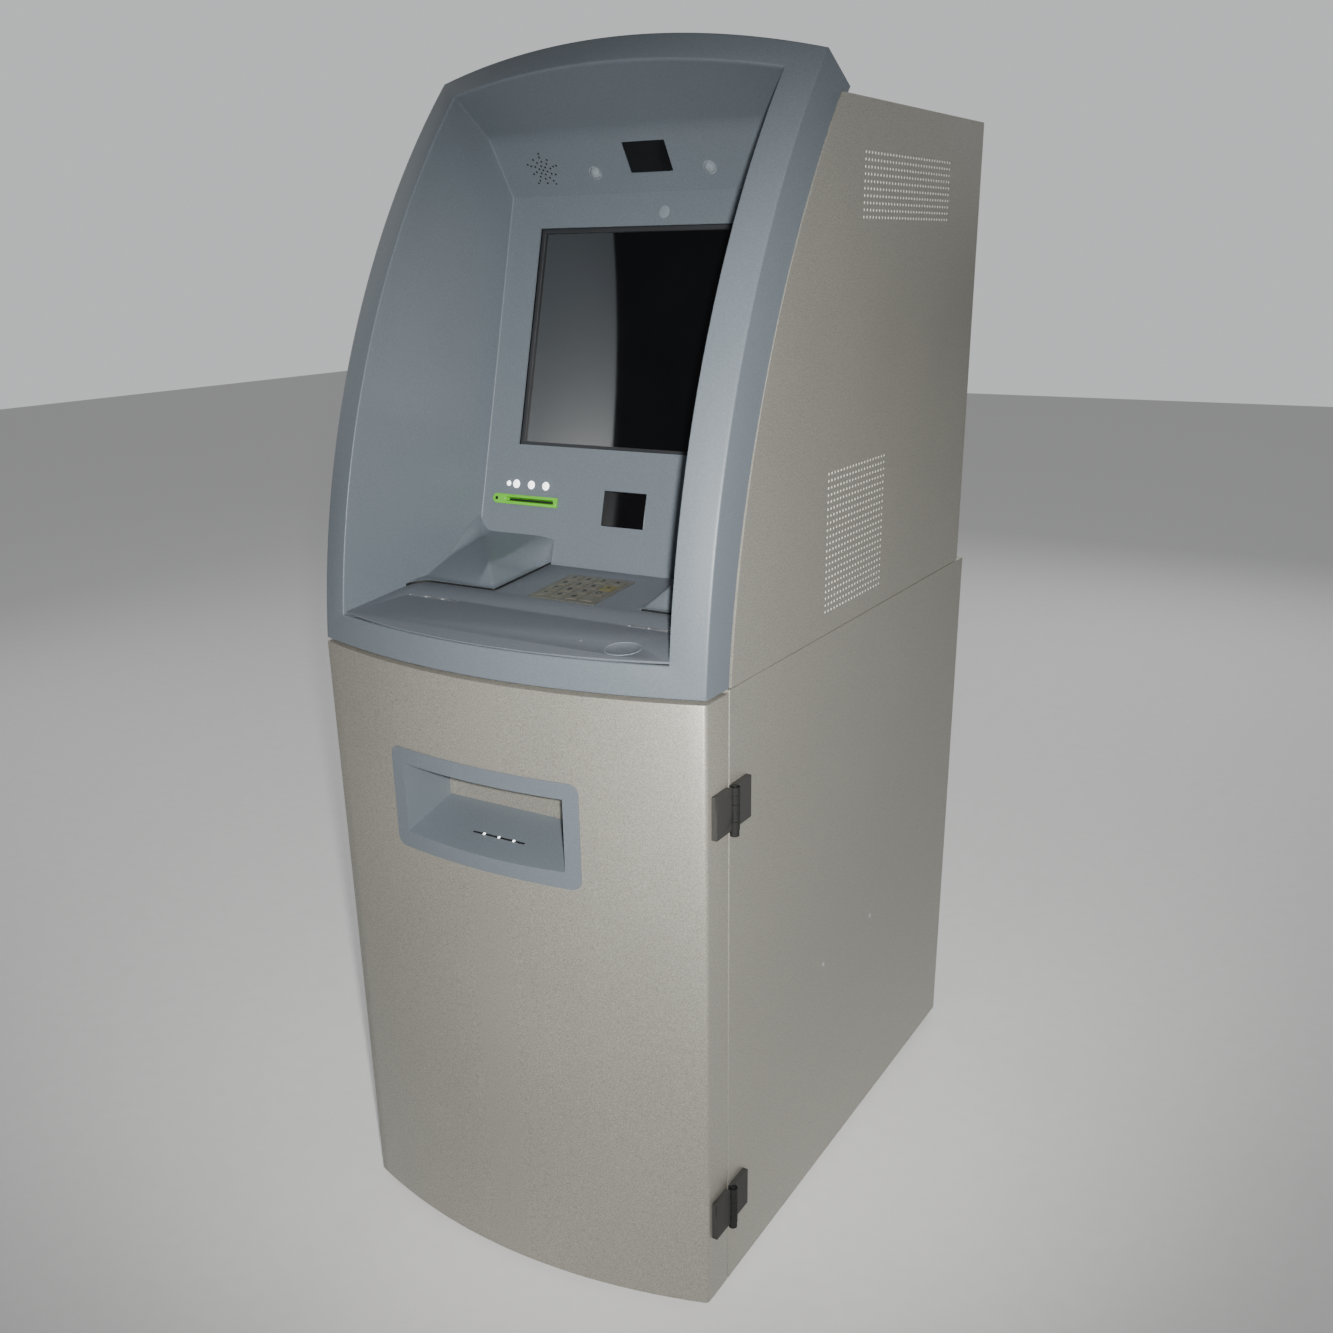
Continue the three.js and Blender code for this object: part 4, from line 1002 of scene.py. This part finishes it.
def build_card_entry():
    """A green moulding with a round left end. Its throat narrows from the mouth to the slit."""
    x0, x1, low, high = -233, -118, 80, 94.5
    radius = (high - low) / 2
    outline = [(x1, low), (x1, high)]
    outline += arc_points(x0 + radius, low + radius, radius, 90, 180, 12)
    mouth = rectangle(-210, -123.5, 84.6, 90.0)
    body = plate("card_entry", [outline, mouth], 0.3, 6.0, 1.0, GREEN, WALL, "xz")
    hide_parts("card_bezel")
    throat = bmesh.new()
    near, far = (
        [throat.verts.new((x / 1000, y, z / 1000)) for x, z in rectangle(*corners)]
        for y, corners in (
            (-0.005, (-209.6, -123.9, 84.9, 89.7)),
            (0.0025, (-207, -127, 86.4, 88.2)),
        )
    )
    join_loops(throat, near, far)
    throat.transform(WALL)
    from_bmesh("card_throat", throat, GREEN)
    rounded_box(
        "card_slit", (-208.5, -125.5), (1.6, 3.2), (85.6, 89.0), 0.3, SLOT_BLACK, tilt=WALL
    )
    marker = [(0, -0.5), (2.2, -0.5), (2.6, -0.2), (2.6, 0.8), (0, 0.8)]
    turned("card_marker", marker, (-225.5, -6.0, 87.3), "y", SLOT_BLACK, tilt=WALL, sides=20)


def dome(name, x, s, radius, rise, material, tilt):
    cap = [(across, -up) for up, across in arc_points(0, 0, 1, 0, 90, 8)]
    profile = [(radius * across, rise * up) for across, up in cap]
    profile += [(radius * 1.25, -0.2), (radius * 1.25, 0.6), (0, 0.6)]
    turned(name, profile, (x, 0, s), "y", material, tilt=tilt, sides=24)


def build_lamps():
    for index, x in enumerate((-210, -196, -169, -143)):
        radius = 3.0 if index == 0 else 4.8
        dome(f"guide_lamp_{index + 1}", x, 110.5, radius, 3.6, LAMP, WALL)
    for index, x in enumerate((-98, 84)):
        dome(f"sensor_dome_{index + 1}", x, 32, 8.0, 5.5, LENS, PANEL)


def build_speaker_holes():
    """Rings of holes; each ring is turned a little against the one inside it."""
    hole = [(0, -0.12), (1.35, -0.12), (1.6, 0.05), (1.6, 0.8), (0, 0.8)]
    index = 0
    for ring, count in ((0, 1), (6.5, 6), (13.0, 10), (19.5, 10), (25.0, 5)):
        for k in range(count):
            a = 2 * math.pi * k / count + ring * 0.11
            centre = (-183 + ring * math.cos(a), 0, 40 + ring * math.sin(a))
            name = f"speaker_hole_{index}"
            turned(name, hole, centre, "y", SLOT_BLACK, tilt=PANEL, sides=12)
            index += 1


build_screen()
build_windows()
build_card_entry()
build_lamps()
build_speaker_holes()
mark = [(0, -0.25), (7.6, -0.25), (8.2, -0.1), (8.4, 0.4), (0, 0.4)]
turned("round_mark", mark, (6.6, 0, 494), "y", PALE_MARK_GREY_AND_RIM_HIGHLIGHT, tilt=WALL)


# ---- Shelf ------------------------------------------------------------------------------------
def shelf_outline():
    side = 254.2
    lead = arc(SHELF_Z) + 5.8 - SHELF_Y
    corner = 14.0
    shoulder = 157.5
    tongue = 117.6
    back = 293.0
    points = []
    for k in range(41):
        x = lerp(-side, side, k / 40)
        points.append((x, -bow(x) + lead))
    points += arc_points(side - corner, shoulder - corner, corner, 0, 90, 6)
    points += [(tongue, shoulder), (tongue, back), (-tongue, back), (-tongue, shoulder)]
    points += arc_points(-side + corner, shoulder - corner, corner, 90, 90, 6)
    return points


SLOTS = ((-223, -137), (137, 223))
DISH = (177.6, 24.0, 0)
DISH_RADIUS = 21.0


def build_paper_slot(index, x0, x1):
    """A dark well; its rear lip is a bright folded edge, and two bridges cross it."""
    for name, xs, ys, zs, radius, material in (
        ("slot_well", (x0 - 2, x1 + 2), (97, 104), (-9, -2.6), 0.5, SLOT_BLACK),
        ("slot_lip", (x0 + 0.6, x1 - 0.6), (102.3, 103.2), (-1.5, 0.3), 0.2, BARE_STEEL),
    ):
        rounded_box(f"{name}_{index}", xs, ys, zs, radius, material, tilt=DESK)
    for bridge in (1, 2):
        x = lerp(x0, x1, bridge / 3)
        name = f"slot_bridge_{index}_{bridge}"
        rounded_box(name, (x - 1.3, x + 1.3), (97.6, 102.4), (-2.2, -0.1), 0.3, LIP, tilt=DESK)


def build_shelf():
    holes = [rectangle(-59.3, 49.3, 152.7, 261.3)]
    for x0, x1 in SLOTS:
        holes.append(rounded_rectangle(x0, x1, 97.4, 102.4, 1.6, 4))
    holes.append(circle(DISH[0], DISH[1], DISH_RADIUS, 48))
    top = plate("shelf_plate", [shelf_outline(), *holes], -3.0, 0.0, 0.5, SHELF_GREY, DESK)
    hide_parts("shelf")
    for index, (x0, x1) in enumerate(SLOTS):
        build_paper_slot(index, x0, x1)
    profile = [(0, -2.6)]
    for k in range(9):
        t = k / 8
        profile.append((DISH_RADIUS * (0.35 + 0.65 * t), -2.6 + 2.55 * t * t))
    edge = DISH_RADIUS + 1.6
    profile += [(DISH_RADIUS + 0.9, 0.35), (edge, 0.0), (edge, -1.5), (0, -4.0)]
    turned("shelf_dish", profile, DISH, "z", SHELF_GREY, tilt=DESK, sides=48)
    offsets = ((-0.6, -0.4), (-0.5, 0.45), (0, 0.7), (0.5, 0.45), (0.6, -0.4), (-0.6, -0.4))
    # The rim is paler than the shelf: a painted highlight along the dish's edge.
    rim = [(DISH_RADIUS + 1.3 + across, up) for across, up in offsets]
    turned("dish_rim", rim, DISH, "z", PALE_MARK_GREY_AND_RIM_HIGHLIGHT, tilt=DESK, sides=48)
    screw = [(0, 0.9), (1.6, 0.8), (2.4, 0.3), (2.4, -1), (0, -1)]
    turned("shelf_screw", screw, (113, 30, 0), "z", LIP, tilt=DESK, sides=16)


build_shelf()


# ---- Keypad -----------------------------------------------------------------------------------
KEY_PITCH = 24.0
KEY_HALF = 9.5
PAD_X = -5.0
PAD_Y = 207.0
KEY_MARKS = (
    ("1", "2", "3", "X"),
    ("4", "5", "6", "<"),
    ("7", "8", "9", "O"),
    ("*", "0", "#", ""),
)


def key_mark(text, x, y, node):
    curve = bpy.data.curves.new("mark", "FONT")
    curve.body = text
    curve.size = 0.012
    curve.align_x = "CENTER"
    curve.align_y = "CENTER"
    curve.extrude = 0.00012
    curve.offset = 0.00025
    holder = new_object("mark", curve)
    mesh = evaluated_mesh(holder)
    bpy.data.objects.remove(holder)
    mesh.transform(Matrix.Translation((x / 1000, y / 1000, 0.00286)))
    mesh.transform(DESK)
    mesh.materials.clear()
    mesh.materials.append(INK)
    add_object(f"mark_{node}", mesh, node)


def key_cap(node, x, y, material):
    """A key whose top is dished a little between its rounded edges."""
    steps = 10
    bm = bmesh.new()
    grid = []
    for j in range(steps + 1):
        line = []
        for i in range(steps + 1):
            u = 2 * i / steps - 1
            v = 2 * j / steps - 1
            drop = 0.9 * smooth_step((max(abs(u), abs(v)) - 0.8) / 0.2)
            dish = 0.25 * (1 - u * u) * (1 - v * v)
            half = KEY_HALF * (1 - 0.02 * (abs(u * v) ** 3))
            top = Vector((x + u * half, y + v * half, 3.0 - drop - dish)) / 1000
            line.append(bm.verts.new(top))
        grid.append(line)
    grid_faces(bm, grid)
    made = bmesh.ops.extrude_edge_only(bm, edges=[e for e in bm.edges if e.is_boundary])
    for vertex in made["geom"]:
        if isinstance(vertex, bmesh.types.BMVert):
            vertex.co.z = -0.005
    bmesh.ops.holes_fill(bm, edges=[e for e in bm.edges if e.is_boundary])
    bm.transform(DESK)
    key = from_bmesh(f"{node}_cap", bm, material, node, 50)
    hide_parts(node)


def build_keypad():
    refined("keypad_frame", BRONZE, 0.5)
    for row, marks in enumerate(KEY_MARKS):
        for column, text in enumerate(marks):
            x = PAD_X + (column - 1.5) * KEY_PITCH
            y = PAD_Y + (1.5 - row) * KEY_PITCH
            node = f"key_{row + 1}_{column + 1}"
            key_cap(node, x, y, KEY_YELLOW if (row, column) == (1, 3) else KEY_FACE)
            if text:
                key_mark(text, x, y, node)


build_keypad()


# ---- Upper cabinet with its pierced vents -----------------------------------------------------
SHEET = 3.0
REAR_OPENING_TOP = 1501.0
VENTS = (
    {"y": (416.0, 724.0), "z": (1423.0, 1499.0), "columns": 31, "rows": 10},
    {"y": (330.0, 519.0), "z": (926.0, 1111.0), "columns": 20, "rows": 21},
)


def vent_pitch(vent):
    (y0, y1), (z0, z1) = vent["y"], vent["z"]
    return (y1 - y0) / (vent["columns"] - 1), (z1 - z0) / (vent["rows"] - 1)


def vent_zone(vent, margin=0.0):
    """The area that the vent's cells fill, as y and z ranges."""
    (y0, y1), (z0, z1) = vent["y"], vent["z"]
    dy, dz = (pitch / 2 + margin for pitch in vent_pitch(vent))
    return (y0 - dy, y1 + dy), (z0 - dz, z1 + dz)


def build_vent(side, vent, label):
    """One pierced area of the side sheet: a square cell with an eight-sided hole, many times.
    A pale plate glows faintly behind the holes: painted light that stands in for light seen
    through them, as the plate is no lamp. A dark tray covers it from inside."""
    dy, dz = vent_pitch(vent)
    hole = 2.0
    outside = side * HALF
    inside = side * (HALF - 0.7)
    bm = bmesh.new()
    for column in range(vent["columns"]):
        for row in range(vent["rows"]):
            cy = vent["y"][0] + column * dy
            cz = vent["z"][0] + row * dz
            cell, rim, throat = [], [], []
            for k in range(8):
                c, s = math.cos(math.radians(45 * k)), math.sin(math.radians(45 * k))
                reach = max(abs(c), abs(s))
                sy, sz = round(c / reach, 6), round(s / reach, 6)
                cell.append(bm.verts.new(place(outside, cy + sy * dy / 2, cz + sz * dz / 2)))
                rim.append(bm.verts.new(place(outside, cy + hole * c, cz + hole * s)))
                throat.append(bm.verts.new(place(inside, cy + hole * c, cz + hole * s)))
            first, second, third = (cell, rim, throat)[::side]
            join_loops(bm, first, second)
            join_loops(bm, second, third)
    bmesh.ops.remove_doubles(bm, verts=bm.verts, dist=1e-6)
    mesh = to_mesh("vent", bm)
    mesh.materials.append(SILVER)
    add_object(f"vent_{label}", mesh, "cabinet")
    for name, xs, margin, radius, material in (
        ("vent_backing", (297.6, 299.35), 0.0, 0.2, VENT_PAINTED_GLOW),
        ("vent_tray", (296.5, 297.5), 3.0, 0.3, DARK_PLASTIC),
    ):
        xs = sorted(side * x for x in xs)
        rounded_box(f"{name}_{label}", xs, *vent_zone(vent, margin), radius, material)


def build_side_sheet(side, where, rear_corner):
    outline = []
    for k in range(41):
        z = lerp(UPPER_BOTTOM, ROOF, k / 40)
        outline.append((arc(z) + CABINET_ARC, z))
    outline += rear_corner
    outline.append((UPPER_BACK, UPPER_BOTTOM))
    holes = []
    for vent in VENTS:
        (y0, y1), (z0, z1) = vent_zone(vent)
        holes.append(rectangle(y0, y1, z0, z1))
    low, high = sorted((side * (HALF - SHEET), side * HALF))
    plate(f"upper_side_{where}", [outline, *holes], low, high, 0.0, SILVER, plane="yz")
    for index, vent in enumerate(VENTS):
        build_vent(side, vent, f"{where}_{index}")


def build_roof(rear_corner):
    """The roof and the strip that it is folded down into at the back."""
    thickness = 2.0
    outer = [(arc(ROOF) + CABINET_ARC, ROOF), (600.0, ROOF), *rear_corner]
    outer.append((UPPER_BACK, REAR_OPENING_TOP))
    inner = [(y - thickness if y > 700 else y, z - thickness) for y, z in outer]
    section = outer + inner[::-1]
    loops = [[(x, y, z) for y, z in section] for x in (-299.9, 299.9)]
    roof = from_bmesh("upper_roof", loft(loops, capped=True), SILVER)
    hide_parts("upper_cabinet")


def build_front_flange(side, where):
    a, b = side * 299.8, side * 278.0
    loops = []
    for k in range(25):
        z = lerp(UPPER_BOTTOM + 0.2, ROOF - 2, k / 24)
        y = arc(z) + CABINET_ARC
        loops.append([(a, y + 0.2, z), (b, y + 0.2, z), (b, y + 2.2, z), (a, y + 2.2, z)])
    from_bmesh(f"front_flange_{where}", loft(loops, capped=True), SILVER)


def build_upper_cabinet():
    radius = 3.0
    corner = arc_points(UPPER_BACK - radius, ROOF - radius, radius, 90, -90, 5)
    for side, where in ((-1, "left"), (1, "right")):
        build_side_sheet(side, where, corner)
    build_roof(corner)
    for name, xs, top in (
        ("rear_frame_left", (-299.8, -230), REAR_OPENING_TOP + 2),
        ("rear_frame_right", (230, 299.8), REAR_OPENING_TOP + 2),
        ("rear_frame_foot", (-231, 231), 930),
    ):
        rounded_box(name, xs, (UPPER_BACK - 2.4, UPPER_BACK), (UPPER_BOTTOM, top), 0.4, SILVER)
    for side, where in ((-1, "left"), (1, "right")):
        build_front_flange(side, where)


build_upper_cabinet()


# ---- Lower cabinet, door and fittings ---------------------------------------------------------
DOOR_BOTTOM = 12.0
DOOR_TOP = 890.0


def build_door():
    """The door with rounded upright corners and softer top and bottom edges."""
    bm = cad_bmesh("front_door", 0.6)

    def outer_upright(e):
        return is_sharp(e) and all(
            abs(abs(v.co.x - ORIGIN.x) - HALF / 1000) < 1e-4 and abs(v.co.y - ORIGIN.y) < 1e-3
            for v in e.verts
        )

    def outer_rim(e):
        return is_sharp(e) and any(
            all(abs(v.co.z - level / 1000) < 2e-4 for v in e.verts)
            for level in (DOOR_BOTTOM, DOOR_TOP)
        )

    bevel_edges(bm, outer_upright, 5.0, 5)
    bevel_edges(bm, outer_rim, 1.4, 2)
    cad_skin("door_skin", bm, "front_door", SILVER)


def build_cassette_front(node, body, handle):
    """A pull handle on two posts, and a round key lock above it."""
    low, high = ((corner - ORIGIN) * 1000 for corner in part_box(node))
    x = (low.x + high.x) / 2
    z = (low.z + high.z) / 2
    front = low.y
    rounded_box(
        f"{node}_handle", (x - 46, x + 46), (front - 8, front - 4.5), (z - 16, z - 5), 1.4,
        handle, body,
    )
    for where, post in (("left", x - 38), ("right", x + 38)):
        rounded_box(
            f"{node}_post_{where}", (post - 5, post + 5), (front - 5.5, front + 0.5),
            (z - 14, z - 7), 1.0, handle, body,
        )
    lock = [(0, -1.2), (2.2, -1.2), (2.4, -2.6), (6.2, -2.6), (7.0, -2.0), (7.4, 0.4), (0, 0.4)]
    turned(f"{node}_lock", lock, (x, front, z + 16), "y", BARE_STEEL, body)


build_door()
for node, material, width, segments in (
    ("lower_cabinet", SILVER, 1.6, 3),
    ("dispenser_bezel", BLUE_GREY, 0.6, 2),
    ("dispenser_shutter", SILVER, 0.5, 2),
    ("lock_case", BARE_STEEL, 0.8, 2),
    ("lock_bolt", BARE_STEEL, 0.8, 2),
    ("rear_service_door", SILVER, 1.2, 3),
    ("rear_lock_cam", BARE_STEEL, 0.4, 2),
    ("power_inlet", DARK_PLASTIC, 0.8, 2),
    ("dispenser_rack", BARE_STEEL, 0.5, 1),
    ("note_presenter", DARK_PLASTIC, 1.2, 2),
    ("monitor", DARK_PLASTIC, 2.0, 2),
    ("card_reader", DARK_PLASTIC, 0.8, 2),
    ("speaker", DARK_PLASTIC, 0.8, 2),
    ("control_computer", DARK_PLASTIC, 1.0, 2),
    ("receipt_printer", DARK_PLASTIC, 1.0, 2),
    ("paper_roll", PAPER, 0.5, 2),
    ("fan_housing", DARK_PLASTIC, 0.8, 2),
    ("fan_rotor", DARK_PLASTIC, 0.3, 2),
):
    refined(node, material, width, segments)
for node, body, handle in (
    ("cash_cassette_1", "cassette_1", HANDLE_PLASTIC),
    ("cash_cassette_2", "cassette_2", HANDLE_PLASTIC),
    ("cash_cassette_3", "cassette_3", HANDLE_PLASTIC),
    ("reject_bin", "reject", RED_PLASTIC),
):
    refined(node, CASSETTE_PLASTIC, 1.6)
    build_cassette_front(node, body, handle)
for index in (1, 2, 3, 4):
    refined(f"levelling_foot_{index}", RUBBER)
for level in ("upper", "lower"):
    for leaf in ("door_leaf", "cabinet_leaf"):
        refined(f"{level}_hinge_{leaf}", BLACK_STEEL, 1.0, 3, angle=1.0)
    refined(f"{level}_hinge_pin", BLACK_STEEL, 0.8, 3)


def build_recess_slot():
    """The fine slot in the recess's climbing floor, with three small lamps along it."""
    climb = math.atan(22.0 / 92.0)
    tilt = tilted(-42.0, 654.0, climb)
    rounded_box(
        "recess_slot", (-51, 33.5), (28.2, 31.4), (-0.4, 0.25), 0.2, SLOT_BLACK, "door", tilt
    )
    lamp = [(0, 1.4), (1.1, 1.2), (1.9, 0.5), (2.1, -0.2), (0, -0.2)]
    for index, x in enumerate((-33, -8.5, 16)):
        turned(f"recess_lamp_{index}", lamp, (x, 29.8, 0.2), "z", LAMP, "door", tilt, 16)


build_recess_slot()
screw = [(0, 1.3), (2.2, 1.1), (3.4, 0.4), (3.6, -0.6), (0, -0.6)]
for index, (y, z) in enumerate(((541, 372), (360, 372))):
    turned(f"side_screw_{index}", screw, (HALF, y, z), "x", LIP, sides=20)
